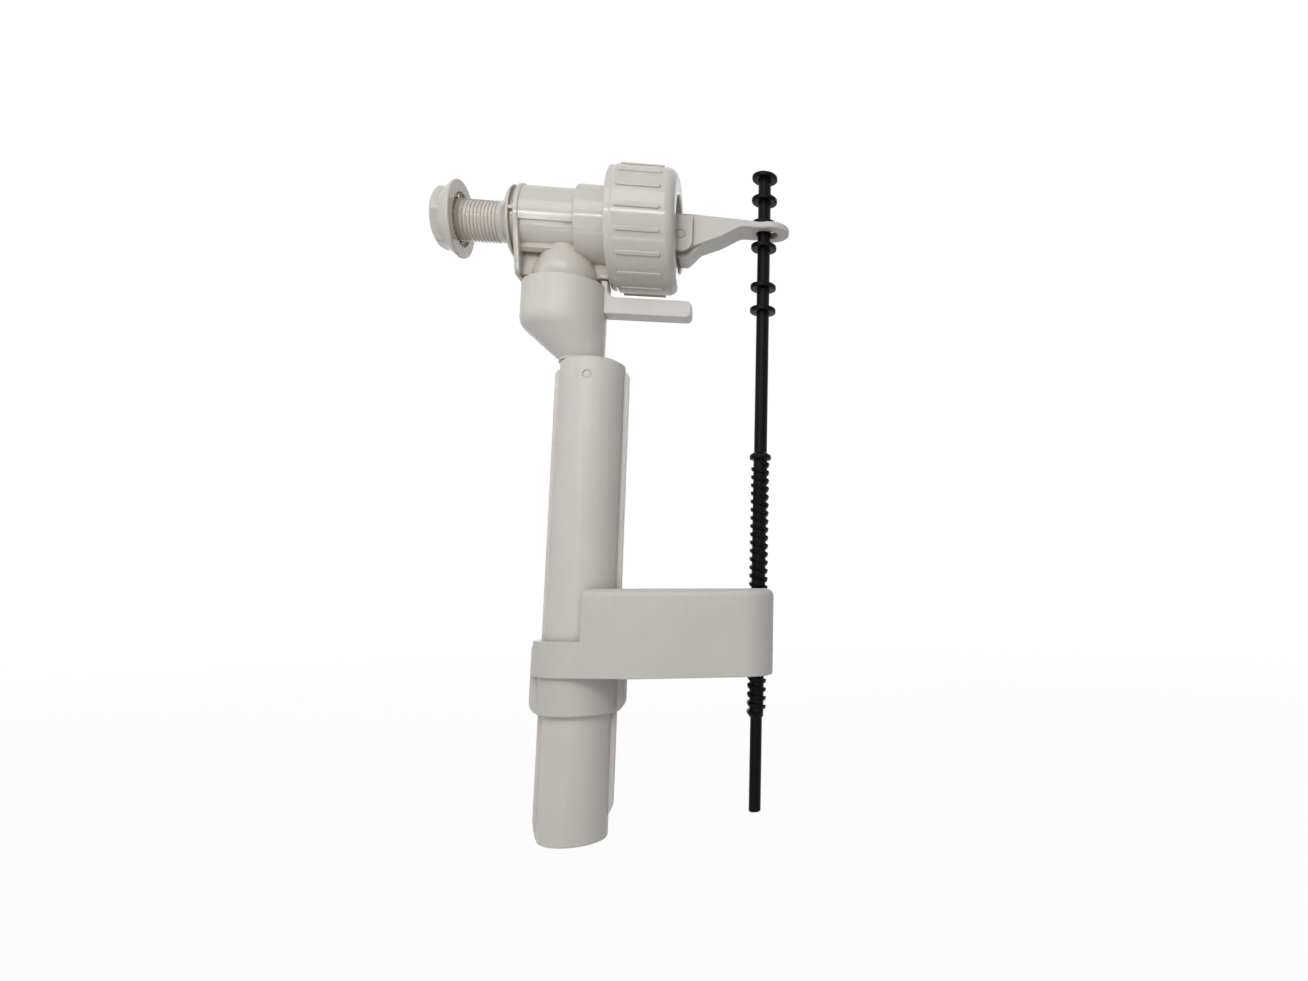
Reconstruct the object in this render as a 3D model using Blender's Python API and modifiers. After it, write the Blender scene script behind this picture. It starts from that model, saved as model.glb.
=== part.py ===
"""Side-inlet toilet fill valve with a float on a threaded rod.

Metres, +Z up. The origin is where the inlet axis crosses the flange face that seats on the
cistern wall. +X runs along the inlet axis into the cistern, and the drop tube hangs down -Z.
"""

import math

import bmesh
import bpy
from mathutils import Vector

MM = 0.001

# Clearances
fit_gap = 0.3 * MM          # between two pieces that touch or screw together
slide_gap = 0.5 * MM        # between the float and the tube it rides on
pin_stand_out = 0.1 * MM    # how far a pin or peg ends beyond the wall it passes
wall = 1.6 * MM             # common moulded wall

# Threaded shank and the flange that seats on the cistern wall
shank_radius = 8.33 * MM    # 3/8 inch parallel pipe thread
shank_length = 27.0 * MM
shank_edge = 0.8 * MM
shank_bore = 5.0 * MM
inlet_bore = 4.2 * MM
bore_step = 2.7 * MM        # from the seat face back to where the bore narrows
flare_length = 3.6 * MM
flare_knee_radius = 10.0 * MM
flare_knee_length = 2.0 * MM
seat_inner_radius = 13.2 * MM
rim_radius = 15.0 * MM
rim_thickness = 3.0 * MM
slot_width = 1.8 * MM
slot_core_radius = 11.6 * MM
bridge_thickness = 1.4 * MM
plate_thickness = 2.0 * MM
plate_radius = 15.8 * MM
tongue_top_half_width = 14.5 * MM
tongue_half_width = 8.2 * MM
tongue_top = -6.0 * MM
tongue_drop = 24.4 * MM

# Ribbed middle and round neck of the body
core_radius = 14.0 * MM
core_length = 20.4 * MM
rib_radius = 16.7 * MM
rib_thickness = 1.2 * MM
ledge_rib_thickness = 2.6 * MM
rib_angles = (-16.0, -50.0)
panel_radius = 15.1 * MM
panel_angle = 50.0          # where the top panel starts, up from level on each side
neck_wall = 2.1 * MM
neck_length = 14.3 * MM
neck_floor = 2.8 * MM
nozzle_radius = 6.6 * MM
nozzle_length = 15.0 * MM
lug_length = 5.4 * MM
lug_half_width = 4.0 * MM
lug_thickness = 2.1 * MM
lug_inset = 0.4 * MM         # below the chamber's outer radius

# Diaphragm chamber under the cap nut
chamber_wall = 3.2 * MM
chamber_length = 8.5 * MM
chamber_floor = 4.5 * MM
diaphragm_radius = 19.7 * MM
diaphragm_rim = 2.5 * MM
diaphragm_rim_width = 3.1 * MM
diaphragm_web = 1.1 * MM
diaphragm_lift = 1.2 * MM
insert_radius = 9.0 * MM
insert_thickness = 1.2 * MM
insert_hub_radius = 2.2 * MM
bleed_offset = 6.0 * MM
bleed_pin_radius = 0.4 * MM

# Bonnet that closes the chamber and carries the lever
bonnet_plate = 3.5 * MM
bonnet_spigot_wall = 5.2 * MM
bonnet_cavity_depth = 4.4 * MM
bonnet_rim_height = 5.2 * MM
bonnet_rim_wall = 4.0 * MM
ear_thickness = 1.6 * MM
ear_top = 4.8 * MM
ear_bottom = -10.7 * MM
ear_reach = 15.6 * MM
ear_corner = 4.5 * MM
pilot_height = 3.5 * MM
pilot_radius = 2.0 * MM
pilot_bore = 0.8 * MM
pilot_travel = 0.25 * MM    # left between the nozzle and the seal when the valve is shut

# Cap nut
nut_wall = 2.4 * MM
nut_overlap = 1.5 * MM      # how far the nut reaches back over the chamber's rear edge
nut_lip = 4.1 * MM
nut_hole_radius = 16.0 * MM
nut_shoulder = 4.2 * MM
grip_count = 18
grip_phase = 0.64           # share of a pitch that the first rib is turned by
grip_height = 0.6 * MM
grip_half_width = 0.9 * MM
grip_inset_back = 4.4 * MM
grip_inset_front = 5.4 * MM

# Lever
lever_rise = math.radians(9.0)
pivot_height = -3.5 * MM
pivot_setback = 4.8 * MM    # from the pivot out to the ears' front edge
pin_radius = 1.8 * MM
lever_half_width = 6.5 * MM
lever_play = 0.4 * MM       # between the lever's side and an ear
lever_nose = 5.2 * MM       # from the pivot back to the lever's rear face
lever_top = 6.3 * MM
lever_foot = -12.6 * MM
lever_rear_corner = -6.9 * MM
lever_foot_back = 1.5 * MM  # from the pivot back to the foot's rear end
lever_foot_front = 2.7 * MM
belly_low = (7.9 * MM, -8.8 * MM)     # out from the pivot, and down from the eye's underside
belly_high = (-15.0 * MM, -5.2 * MM)  # back from the eye's neck, and down from its underside
eye_underside = 6.5 * MM    # how far the eye's flat underside reaches back from its neck
eye_neck_share = 0.8        # of the eye's radius, from its centre back to its neck
eye_top = 5.3 * MM
eye_thickness = 3.0 * MM
eye_radius = 7.6 * MM
eye_offset = 3.0 * MM       # eye centre beyond the rod
eye_slot_back = 3.1 * MM
eye_slot_front = 5.6 * MM
eye_slot_half_width = 3.4 * MM
seal_radius = 2.6 * MM
seal_thickness = 1.6 * MM

# Outlet boss and eccentric adaptor
boss_x = 22.4 * MM
boss_radius = 13.0 * MM
boss_bore = 10.2 * MM
boss_bottom = -40.6 * MM
boss_bore_top = -8.0 * MM
boss_root = -4.5 * MM
cup_radius = 16.4 * MM
cup_top = -25.9 * MM
cup_crease = -43.1 * MM
ring_height = -34.0 * MM
ring_wire = 0.45 * MM
neck_end_radius = 8.7 * MM
neck_end_x = 30.0 * MM
passage_radius = 6.2 * MM
passage_x = 31.6 * MM
plug_length = 10.5 * MM
peg_radius = 1.5 * MM
peg_drop = 7.1 * MM
arm_half_width = 5.0 * MM
arm_top = -30.8 * MM
arm_height = 6.6 * MM
arm_end_x = 72.7 * MM
arm_leg_top = -23.6 * MM
arm_leg_x = 39.0 * MM
arm_fillet = 4.0 * MM
arm_corner = 2.2 * MM

# Drop tube
tube_x = 34.6 * MM
tube_radius = 12.5 * MM
tube_wall = 1.5 * MM
tube_top = -57.8 * MM
tube_bottom = -239.4 * MM
tube_edge = 0.5 * MM
rail_height = 1.7 * MM
rail_half_width = 1.5 * MM
rail_top_gap = 3.0 * MM
left_rail_gap = 0.5 * MM    # from the rail's lower end down to the tube's
right_rail_gap = 8.4 * MM
rail_top_taper = 1.6 * MM
left_rail_taper = 5.4 * MM
right_rail_taper = 3.0 * MM

# Adjusting rod
rod_x = 101.6 * MM
rod_upper_radius = 2.55 * MM
rod_lower_radius = 2.27 * MM
rod_top = 28.7 * MM
rod_bottom = -232.7 * MM
disc_radius = 5.39 * MM
disc_thickness = 1.8 * MM
disc_heights = (27.8 * MM, 17.5 * MM, -3.6 * MM, -21.2 * MM, -31.4 * MM)
stop_disc_radius = 4.4 * MM
stop_disc_thickness = 2.4 * MM
thread_top = -92.6 * MM
thread_bottom = -196.8 * MM
thread_pitch = 3.32 * MM
thread_root_radius = 2.8 * MM
thread_crest_radius = 4.36 * MM

# Float
float_top = -147.2 * MM
float_bottom = -179.5 * MM
float_step = -166.5 * MM
float_left = 37.8 * MM
float_shoulder_x = 55.0 * MM
float_end_wall = 1.1 * MM
float_half_width = 24.0 * MM
float_corner = 11.0 * MM
float_round = 3.0 * MM
float_hub_radius = 17.0 * MM
collar_wall = 2.0 * MM
collar_bottom = -193.6 * MM
collar_edge = 0.8 * MM
lobe_wall = 2.5 * MM
lobe_half_width = 3.6 * MM
lobe_lift = 1.6 * MM        # from the collar's lower face up to the lobes
clip_half_width = 5.0 * MM
clip_height = 15.8 * MM
clip_top = -155.2 * MM

# Backnut
backnut_overhang = 0.3 * MM  # how far the nut reaches past the tail's end
backnut_flange_radius = 15.4 * MM
backnut_flange_rim = 1.4 * MM
backnut_flange_cone = 2.2 * MM
backnut_hex_radius = 12.7 * MM
backnut_hex_length = 5.3 * MM
backnut_dome = 2.0 * MM     # where the hexagon's end rounds off
backnut_turn = math.radians(-24.0)

# Parts inside the shank
restrictor_length = 6.0 * MM
restrictor_bore = 1.5 * MM
restrictor_groove = 1.5 * MM
groove_share = 0.4          # of the restrictor's length, from its rear end to the groove
filter_ring_length = 1.5 * MM
filter_bar = 1.0 * MM
filter_window_share = 0.7   # of the bore, the half width of the basket's windows
filter_mesh_radius = 3.7 * MM
filter_mesh_wall = 0.4 * MM

# Radii and stations along the inlet axis, worked out from the sizes above
chamber_radius = diaphragm_radius + fit_gap + chamber_wall
neck_cavity_radius = diaphragm_radius - diaphragm_rim_width - wall
neck_radius = neck_cavity_radius + neck_wall
bonnet_cavity_radius = diaphragm_radius - bonnet_spigot_wall
slot_x = rim_thickness
plate_x = slot_x + slot_width
core_x = plate_x + plate_thickness
neck_x = core_x + core_length
chamber_x = neck_x + neck_length
mouth_x = chamber_x + chamber_length
land_x = chamber_x + chamber_floor
neck_floor_x = neck_x + neck_floor
seat_x = neck_floor_x + nozzle_length
diaphragm_x = land_x + fit_gap
bonnet_x = diaphragm_x + diaphragm_rim + fit_gap
bonnet_face_x = bonnet_x + bonnet_cavity_depth + bonnet_plate
bonnet_front_x = bonnet_face_x + bonnet_rim_height
nut_lip_x = bonnet_front_x + fit_gap
nut_front_x = nut_lip_x + nut_lip
nut_back_x = chamber_x - nut_overlap
ear_front_x = bonnet_face_x + ear_reach
pivot_x = ear_front_x - pivot_setback
lever_back_x = pivot_x - lever_nose
step_x = -bore_step
nut_bore_radius = chamber_radius + fit_gap
nut_radius = nut_bore_radius + nut_wall
tube_bore = tube_radius - tube_wall
rail_radius = tube_radius + rail_height
float_end_x = rod_x + thread_crest_radius + fit_gap + float_end_wall
rod_bore = thread_crest_radius + fit_gap
collar_bore = tube_radius + slide_gap
lobe_bore = rail_radius + slide_gap
ear_inner_y = lever_half_width + lever_play
ear_outer_y = ear_inner_y + ear_thickness
groove_half = ring_wire + fit_gap
pilot_stroke = (pilot_height + pilot_radius - pivot_height) * math.sin(lever_rise) + pilot_travel


def clear_scene():
    for item in list(bpy.data.objects):
        bpy.data.objects.remove(item, do_unlink=True)


def make_collection(name):
    collection = bpy.data.collections.new(name)
    bpy.context.scene.collection.children.link(collection)
    return collection


def plastic(name, color, roughness, metallic=0.0):
    material = bpy.data.materials.new(name)
    material.use_nodes = True
    shader = material.node_tree.nodes["Principled BSDF"]
    shader.inputs["Base Color"].default_value = (*color, 1.0)
    shader.inputs["Roughness"].default_value = roughness
    shader.inputs["Metallic"].default_value = metallic
    material.diffuse_color = (*color, 1.0)
    return material


clear_scene()
parts = make_collection("toilet_fill_valve")
cutters = make_collection("cutters")


def add_part(name, mesh, material, origin=(0, 0, 0), smooth=40):
    """Link a mesh, given in world places, as a part whose origin is at `origin`."""
    return link_object(name, mesh, parts, origin, material, smooth)


def add_form(name, mesh, origin=(0, 0, 0)):
    """Link a hidden helper solid that a Boolean adds to a part or cuts from it."""
    form = link_object(name, mesh, cutters, origin)
    form.hide_render = True
    form.display_type = "WIRE"
    return form


def link_object(name, mesh, collection, origin, material=None, smooth=None):
    for vertex in mesh.vertices:
        vertex.co -= Vector(origin)
    item = bpy.data.objects.new(name, mesh)
    item.location = origin
    collection.objects.link(item)
    if material:
        mesh.materials.append(material)
    if smooth:
        mesh.shade_smooth()
        mesh.set_sharp_from_angle(angle=math.radians(smooth))
    return item


def combine(target, tool, operation):
    modifier = target.modifiers.new(f"{operation.lower()} {tool.name}", "BOOLEAN")
    modifier.operation = operation
    modifier.solver = "EXACT"
    modifier.object = tool


def join_forms(target, *forms):
    for form in forms:
        combine(target, form, "UNION")


def cut_forms(target, *forms):
    for form in forms:
        combine(target, form, "DIFFERENCE")


def ride_on(child, parent):
    """Parent an object and keep it where it is."""
    child.parent = parent
    child.location = child.location - parent.location


def arc(center_u, center_v, radius, start, end, count):
    """Points on an arc, angles in degrees."""
    points = []
    for index in range(count + 1):
        angle = math.radians(start + (end - start) * index / count)
        points.append((center_u + radius * math.cos(angle), center_v + radius * math.sin(angle)))
    return points


def signed_area(points):
    total = 0.0
    for (u0, v0), (u1, v1) in zip(points, points[1:] + points[:1]):
        total += u0 * v1 - u1 * v0
    return total / 2


def turned(name, profile, place=(0, 0, 0), along="Z", steps=40, material=None):
    """Turn (radius, height) points about an axis through `place`; material None makes a form."""
    points = list(profile)
    if signed_area(points) > 0:
        points.reverse()
    closed = all(radius > 0 for radius, height in points)
    mesh = bpy.data.meshes.new(name)
    edges = [(i, i + 1) for i in range(len(points) - 1)]
    if closed:
        edges.append((len(points) - 1, 0))
    else:
        first = next(i for i in range(len(points)) if points[i - 1][0] == 0 and points[i][0] == 0)
        points = points[first:] + points[:first]
    mesh.from_pydata([(radius, 0, height) for radius, height in points], edges, [])
    if material:
        item = add_part(name, mesh, material, smooth=None)
    else:
        item = add_form(name, mesh)
    item.location = place
    if along == "X":
        item.rotation_euler = (0, math.pi / 2, 0)
    if along == "Y":
        item.rotation_euler = (-math.pi / 2, 0, 0)
    screw = item.modifiers.new("turn", "SCREW")
    screw.axis = "Z"
    screw.angle = math.tau
    screw.steps = steps
    screw.render_steps = steps
    screw.use_merge_vertices = True
    screw.merge_threshold = 0.000001
    screw.use_smooth_shade = True
    return item


def rod_profile(radius, low, high):
    return [(0, high), (radius, high), (radius, low), (0, low)]


def ring_profile(outer, inner, low, high):
    return [(outer, high), (outer, low), (inner, low), (inner, high)]


def box_mesh(name, low, high):
    mesh = bpy.data.meshes.new(name)
    builder = bmesh.new()
    bmesh.ops.create_cube(builder, size=1.0)
    for vertex in builder.verts:
        for axis in range(3):
            middle = (low[axis] + high[axis]) / 2
            vertex.co[axis] = middle + vertex.co[axis] * (high[axis] - low[axis])
    builder.to_mesh(mesh)
    builder.free()
    return mesh


def outline_mesh(name, points, low, high, plane="XY"):
    """Extrude a flat outline from `low` to `high` across its plane."""
    curve = bpy.data.curves.new(name, "CURVE")
    curve.dimensions = "2D"
    curve.fill_mode = "BOTH"
    curve.extrude = (high - low) / 2
    spline = curve.splines.new("POLY")
    spline.points.add(len(points) - 1)
    for point, (u, v) in zip(spline.points, points):
        point.co = (u, v, 0, 1)
    spline.use_cyclic_u = True
    holder = bpy.data.objects.new(name, curve)
    parts.objects.link(holder)
    bpy.context.view_layer.update()
    mesh = bpy.data.meshes.new_from_object(holder.evaluated_get(bpy.context.evaluated_depsgraph_get()))
    mesh.name = name
    bpy.data.objects.remove(holder)
    bpy.data.curves.remove(curve)
    builder = bmesh.new()
    builder.from_mesh(mesh)
    bmesh.ops.remove_doubles(builder, verts=builder.verts, dist=0.000001)
    bmesh.ops.recalc_face_normals(builder, faces=builder.faces)
    middle = (low + high) / 2
    for vertex in builder.verts:
        u, v, w = vertex.co
        vertex.co = (u, v, w + middle) if plane == "XY" else (u, -w + middle, v)
    builder.to_mesh(mesh)
    builder.free()
    return mesh


def stacked_mesh(name, sections):
    """Loft closed sections, each a (height, points) pair with equal point counts, bottom to top."""
    builder = bmesh.new()
    rings = []
    for height, points in sections:
        rings.append([builder.verts.new((u, v, height)) for u, v in points])
    count = len(rings[0])
    for lower, upper in zip(rings, rings[1:]):
        for i in range(count):
            j = (i + 1) % count
            builder.faces.new((lower[i], lower[j], upper[j], upper[i]))
    builder.faces.new(list(reversed(rings[0])))
    builder.faces.new(rings[-1])
    mesh = bpy.data.meshes.new(name)
    builder.to_mesh(mesh)
    builder.free()
    return mesh


def circle_points(center_x, radius, count=40):
    return arc(center_x, 0, radius, 0, 360 - 360 / count, count - 1)


def thread_mesh(name, top, bottom, pitch, root, crest, sides=10):
    """A solid of revolution whose four-point profile climbs one pitch in each turn."""
    profile = ((0.00, root), (0.30, root), (0.52, crest), (0.78, crest))
    turns = int((top - bottom) / pitch) - 1
    builder = bmesh.new()
    columns = []
    for side in range(sides):
        angle = math.tau * side / sides
        column = []
        for turn in range(turns + 1):
            for share, radius in profile:
                height = bottom + pitch * (turn + share + side / sides)
                place = (radius * math.cos(angle), radius * math.sin(angle), height)
                column.append(builder.verts.new(place))
        columns.append(column)
    rows = len(columns[0])
    step = len(profile)
    last = rows - step
    for side in range(sides - 1):
        left, right = columns[side], columns[side + 1]
        for row in range(rows - 1):
            builder.faces.new((left[row], right[row], right[row + 1], left[row + 1]))
    left, right = columns[-1], columns[0]
    for row in range(last - 1):
        builder.faces.new((left[row], right[row + step], right[row + step + 1], left[row + 1]))
    foot = builder.verts.new((0, 0, bottom + pitch / 2))
    lower_edge = [column[0] for column in columns] + [columns[0][row] for row in range(step, -1, -1)]
    for first, second in zip(lower_edge, lower_edge[1:]):
        builder.faces.new((second, first, foot))
    head = builder.verts.new((0, 0, bottom + pitch * (turns + 1)))
    upper_edge = [columns[-1][row] for row in range(last - 1, rows)]
    upper_edge = [column[rows - 1] for column in columns] + upper_edge[::-1][1:]
    for first, second in zip(upper_edge, upper_edge[1:] + upper_edge[:1]):
        builder.faces.new((first, second, head))
    mesh = bpy.data.meshes.new(name)
    builder.to_mesh(mesh)
    builder.free()
    return mesh


def make_valve_body():
    """Shank, flange, ribbed middle, neck, chamber and outlet boss, moulded in one piece."""
    outside = [(chamber_radius, mouth_x), (chamber_radius, chamber_x), (neck_radius, chamber_x)]
    outside += [(neck_radius, neck_x), (core_radius, neck_x), (core_radius, core_x)]
    outside += [(plate_radius, core_x), (plate_radius, plate_x), (slot_core_radius, plate_x)]
    outside += [(slot_core_radius, slot_x), (rim_radius, slot_x), (rim_radius, 0), (seat_inner_radius, 0)]
    outside += [(flare_knee_radius, -flare_knee_length)]
    outside += [(shank_radius, -flare_length), (shank_radius, -shank_length + shank_edge)]
    outside += [(shank_radius - shank_edge, -shank_length)]
    inside = [(shank_bore, -shank_length), (shank_bore, step_x), (inlet_bore, step_x)]
    inside += [(inlet_bore, seat_x), (nozzle_radius, seat_x), (nozzle_radius, neck_floor_x)]
    inside += [(neck_cavity_radius, neck_floor_x), (neck_cavity_radius, land_x)]
    inside += [(diaphragm_radius + fit_gap, land_x), (diaphragm_radius + fit_gap, mouth_x)]
    body = turned("valve_body", outside + inside, along="X", steps=40, material=glossy_white)

    bridges = make_bridges()
    tongue_points = [(-tongue_top, -tongue_top_half_width), (tongue_drop, -tongue_half_width)]
    tongue_points += [(tongue_drop, tongue_half_width), (-tongue_top, tongue_top_half_width)]
    tongue = facing_form("plate_tongue", tongue_points, plate_x, core_x)
    lug_bottom = lug_inset - chamber_radius
    lug_low = (chamber_x - lug_length, -lug_half_width, lug_bottom)
    lug_high = (chamber_x + wall, lug_half_width, lug_bottom + lug_thickness)
    lug = add_form("neck_lug", box_mesh("neck_lug", lug_low, lug_high))
    boss = turned("outlet_boss", rod_profile(boss_radius, boss_bottom, boss_root), (boss_x, 0, 0), steps=36)
    panel_points = arc(0, 0, panel_radius, 90 + panel_angle, 270 - panel_angle, 10)
    panel_points += arc(0, 0, core_radius - wall, 270 - panel_angle, 90 + panel_angle, 10)
    panel = facing_form("top_panel", panel_points, core_x - wall / 2, neck_x + wall / 2)
    join_forms(body, bridges, tongue, panel, *make_ribs(), lug, boss)

    bore_profile = rod_profile(boss_bore, boss_bottom - wall, boss_bore_top)
    outlet = turned("outlet_bore", bore_profile, (boss_x, 0, 0), steps=28)
    groove_floor = boss_radius - ring_wire * 2 - fit_gap
    groove_low = ring_height - groove_half
    groove = ring_profile(boss_radius + wall, groove_floor, groove_low, groove_low + groove_half * 2)
    ring_groove = turned("ring_groove", groove, (boss_x, 0, 0))
    cut_forms(body, outlet, ring_groove)
    return body


def facing_form(name, points, low, high):
    """A form extruded along X from (down, across) points."""
    form = add_form(name, stacked_mesh(name, [(low, points), (high, points)]))
    form.rotation_euler = (0, math.pi / 2, 0)
    return form


def make_bridges():
    """Cross of thin webs that ties the flange to the plate across the slot."""
    reach = rim_radius - fit_gap
    half = bridge_thickness / 2
    low = slot_x - wall / 2
    high = plate_x + wall / 2
    upright_mesh = box_mesh("bridge_upright", (low, -half, -reach), (high, half, reach))
    upright = add_form("bridge_upright", upright_mesh)
    level_mesh = box_mesh("bridge_level", (low, -reach, -half), (high, reach, half))
    level = add_form("bridge_level", level_mesh)
    join_forms(upright, level)
    core = turned("bridge_core", rod_profile(slot_core_radius - wall, low - wall, high + wall), along="X")
    cut_forms(upright, core)
    return upright


def make_ribs():
    """Long ribs on both sides of the middle, from the plate to the neck."""
    ribs = []
    for side in (-1, 1):
        for number, angle in enumerate(rib_angles):
            half = (ledge_rib_thickness if angle == rib_angles[-1] else rib_thickness) / 2
            low = (core_x - wall / 2, core_radius - wall, -half)
            high = (neck_x + wall / 2, rib_radius, half)
            name = f"body_rib_{'left' if side < 0 else 'right'}_{number}"
            rib = add_form(name, box_mesh(name, low, high))
            turn = math.radians(angle if side > 0 else 180 - angle)
            rib.rotation_euler = (turn, 0, 0)
            ribs.append(rib)
    return ribs


def make_shank_parts():
    """Strainer basket, its mesh, and the flow restrictor with its ring."""
    outer = shank_bore - fit_gap
    end = step_x - fit_gap
    start = end - restrictor_length
    groove_low = start + restrictor_length * groove_share
    groove_high = groove_low + restrictor_groove
    ring_wire_radius = (restrictor_groove - fit_gap * 2) / 2
    groove_floor = outer - ring_wire_radius * 2 - fit_gap
    profile = [(outer, end), (outer, groove_high), (groove_floor, groove_high), (groove_floor, groove_low)]
    profile += [(outer, groove_low), (outer, start), (restrictor_bore, start), (restrictor_bore, end)]
    turned("flow_restrictor", profile, along="X", steps=24, material=green_plastic)
    ring_center = (groove_low + groove_high) / 2
    section = arc(outer - ring_wire_radius, ring_center, ring_wire_radius, 0, 300, 5)
    turned("restrictor_ring", section, along="X", steps=20, material=black_rubber)

    basket_start = -shank_length + fit_gap
    basket_end = start - fit_gap
    ring_end = basket_start + filter_ring_length
    mesh_inner = filter_mesh_radius - filter_mesh_wall
    bar_outer = mesh_inner - fit_gap
    bore = bar_outer - filter_bar
    frame_profile = [(filter_mesh_radius, basket_end), (filter_mesh_radius, basket_end - filter_bar)]
    frame_profile += [(bar_outer, basket_end - filter_bar), (bar_outer, ring_end), (outer, ring_end)]
    frame_profile += [(outer, basket_start), (bore, basket_start), (bore, basket_end - filter_bar)]
    frame_profile += [(0, basket_end - filter_bar), (0, basket_end)]
    frame = turned("filter_frame", frame_profile, along="X", steps=24, material=grey_plastic)
    window_low = ring_end + filter_bar
    window_high = basket_end - filter_bar * 2
    slit = bore * filter_window_share
    for name, half_y, half_z in (("window_upright", slit, outer), ("window_level", outer, slit)):
        window = box_mesh(name, (window_low, -half_y, -half_z), (window_high, half_y, half_z))
        cut_forms(frame, add_form(name, window))
    mesh_end = basket_end - filter_bar - fit_gap
    sleeve = ring_profile(filter_mesh_radius, mesh_inner, ring_end + fit_gap, mesh_end)
    turned("filter_mesh", sleeve, along="X", steps=24, material=steel)


def make_diaphragm():
    """Rubber diaphragm, its plastic insert, and the needle that keeps the bleed hole open."""
    rim_inner = diaphragm_radius - diaphragm_rim_width
    web_low = seat_x + diaphragm_lift
    web_high = web_low + diaphragm_web
    rim_high = diaphragm_x + diaphragm_rim
    hole = insert_hub_radius + fit_gap
    profile = [(diaphragm_radius, rim_high), (diaphragm_radius, diaphragm_x), (rim_inner, diaphragm_x)]
    profile += [(rim_inner - wall, web_low), (hole, web_low), (hole, web_high)]
    profile += [(rim_inner - wall, web_high)]
    profile += [(rim_inner, rim_high)]
    rubber = turned("diaphragm", profile, along="X", steps=40, material=black_rubber)
    plate_low = web_high + fit_gap
    plate_high = plate_low + insert_thickness
    plate = [(0, plate_high), (insert_radius, plate_high), (insert_radius, plate_low)]
    plate += [(insert_hub_radius, plate_low), (insert_hub_radius, web_low), (0, web_low)]
    insert = turned("diaphragm_insert", plate, along="X", steps=32, material=grey_plastic)
    needle_place = (0, 0, -bleed_offset)
    bleed_radius = bleed_pin_radius + fit_gap
    bleed_profile = rod_profile(bleed_radius, web_low - wall, plate_high + wall)
    bleed = turned("bleed_hole", bleed_profile, needle_place, "X", 12)
    cut_forms(rubber, bleed)
    cut_forms(insert, bleed)
    needle = rod_profile(bleed_pin_radius, web_low, bonnet_x + bonnet_cavity_depth - fit_gap)
    turned("bleed_pin", needle, needle_place, "X", 10, steel)


def make_bonnet():
    """Round cover with the pilot nozzle and the two ears that hold the lever's pin."""
    flange_radius = chamber_radius - fit_gap
    spigot = diaphragm_radius
    rim_inner = flange_radius - bonnet_rim_wall
    cavity_x = bonnet_x + bonnet_cavity_depth
    shoulder_x = mouth_x + fit_gap
    profile = [(flange_radius, bonnet_front_x), (flange_radius, shoulder_x), (spigot, shoulder_x)]
    profile += [(spigot, bonnet_x), (bonnet_cavity_radius, bonnet_x), (bonnet_cavity_radius, cavity_x)]
    profile += [(0, cavity_x), (0, bonnet_face_x), (rim_inner, bonnet_face_x), (rim_inner, bonnet_front_x)]
    bonnet = turned("bonnet", profile, along="X", steps=40, material=glossy_white)
    root_x = bonnet_face_x - bonnet_plate / 2
    corner = arc(ear_front_x - ear_corner, ear_bottom + ear_corner, ear_corner, -90, 0, 6)
    outline = [(root_x, ear_bottom)] + corner + [(ear_front_x, ear_top), (root_x, ear_top)]
    for side in (-1, 1):
        low, high = sorted((side * ear_inner_y, side * ear_outer_y))
        name = "near_ear" if side < 0 else "far_ear"
        join_forms(bonnet, add_form(name, outline_mesh(name, outline, low, high, "XZ")))
    nozzle_tip = lever_back_x - pilot_stroke
    pilot_place = (0, 0, pilot_height)
    nozzle = turned("pilot_nozzle", rod_profile(pilot_radius, root_x, nozzle_tip), pilot_place, "X", 20)
    join_forms(bonnet, nozzle)
    drill_profile = rod_profile(pilot_bore, cavity_x - wall, nozzle_tip + wall)
    drill = turned("pilot_drill", drill_profile, pilot_place, "X", 12)
    pivot = (pivot_x, 0, pivot_height)
    hole_reach = ear_outer_y + wall
    hole_profile = rod_profile(pin_radius + fit_gap, -hole_reach, hole_reach)
    cut_forms(bonnet, drill, turned("ear_pin_hole", hole_profile, pivot, "Y", 20))
    reach = ear_outer_y + pin_stand_out
    turned("lever_pin", rod_profile(pin_radius, -reach, reach), pivot, "Y", 20, satin_white)


def make_cap_nut():
    inner = nut_bore_radius
    shoulder = arc(nut_front_x - nut_shoulder, nut_radius - nut_shoulder, nut_shoulder, 0, 90, 5)
    profile = [(nut_hole_radius, nut_front_x)] + [(radius, place) for place, radius in shoulder]
    profile += [(nut_radius, nut_back_x + wall), (nut_radius - wall / 2, nut_back_x), (inner, nut_back_x)]
    profile += [(inner, nut_lip_x), (nut_hole_radius, nut_lip_x)]
    nut = turned("cap_nut", profile, along="X", steps=40, material=glossy_white)
    low = (nut_back_x + grip_inset_back, -grip_half_width, nut_radius - wall / 2)
    high = (nut_front_x - grip_inset_front, grip_half_width, nut_radius + grip_height)
    for number in range(grip_count):
        name = f"grip_rib_{number:02d}"
        rib = add_form(name, box_mesh(name, low, high))
        rib.rotation_euler = (math.tau * (number + grip_phase) / grip_count, 0, 0)
        join_forms(nut, rib)


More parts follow.
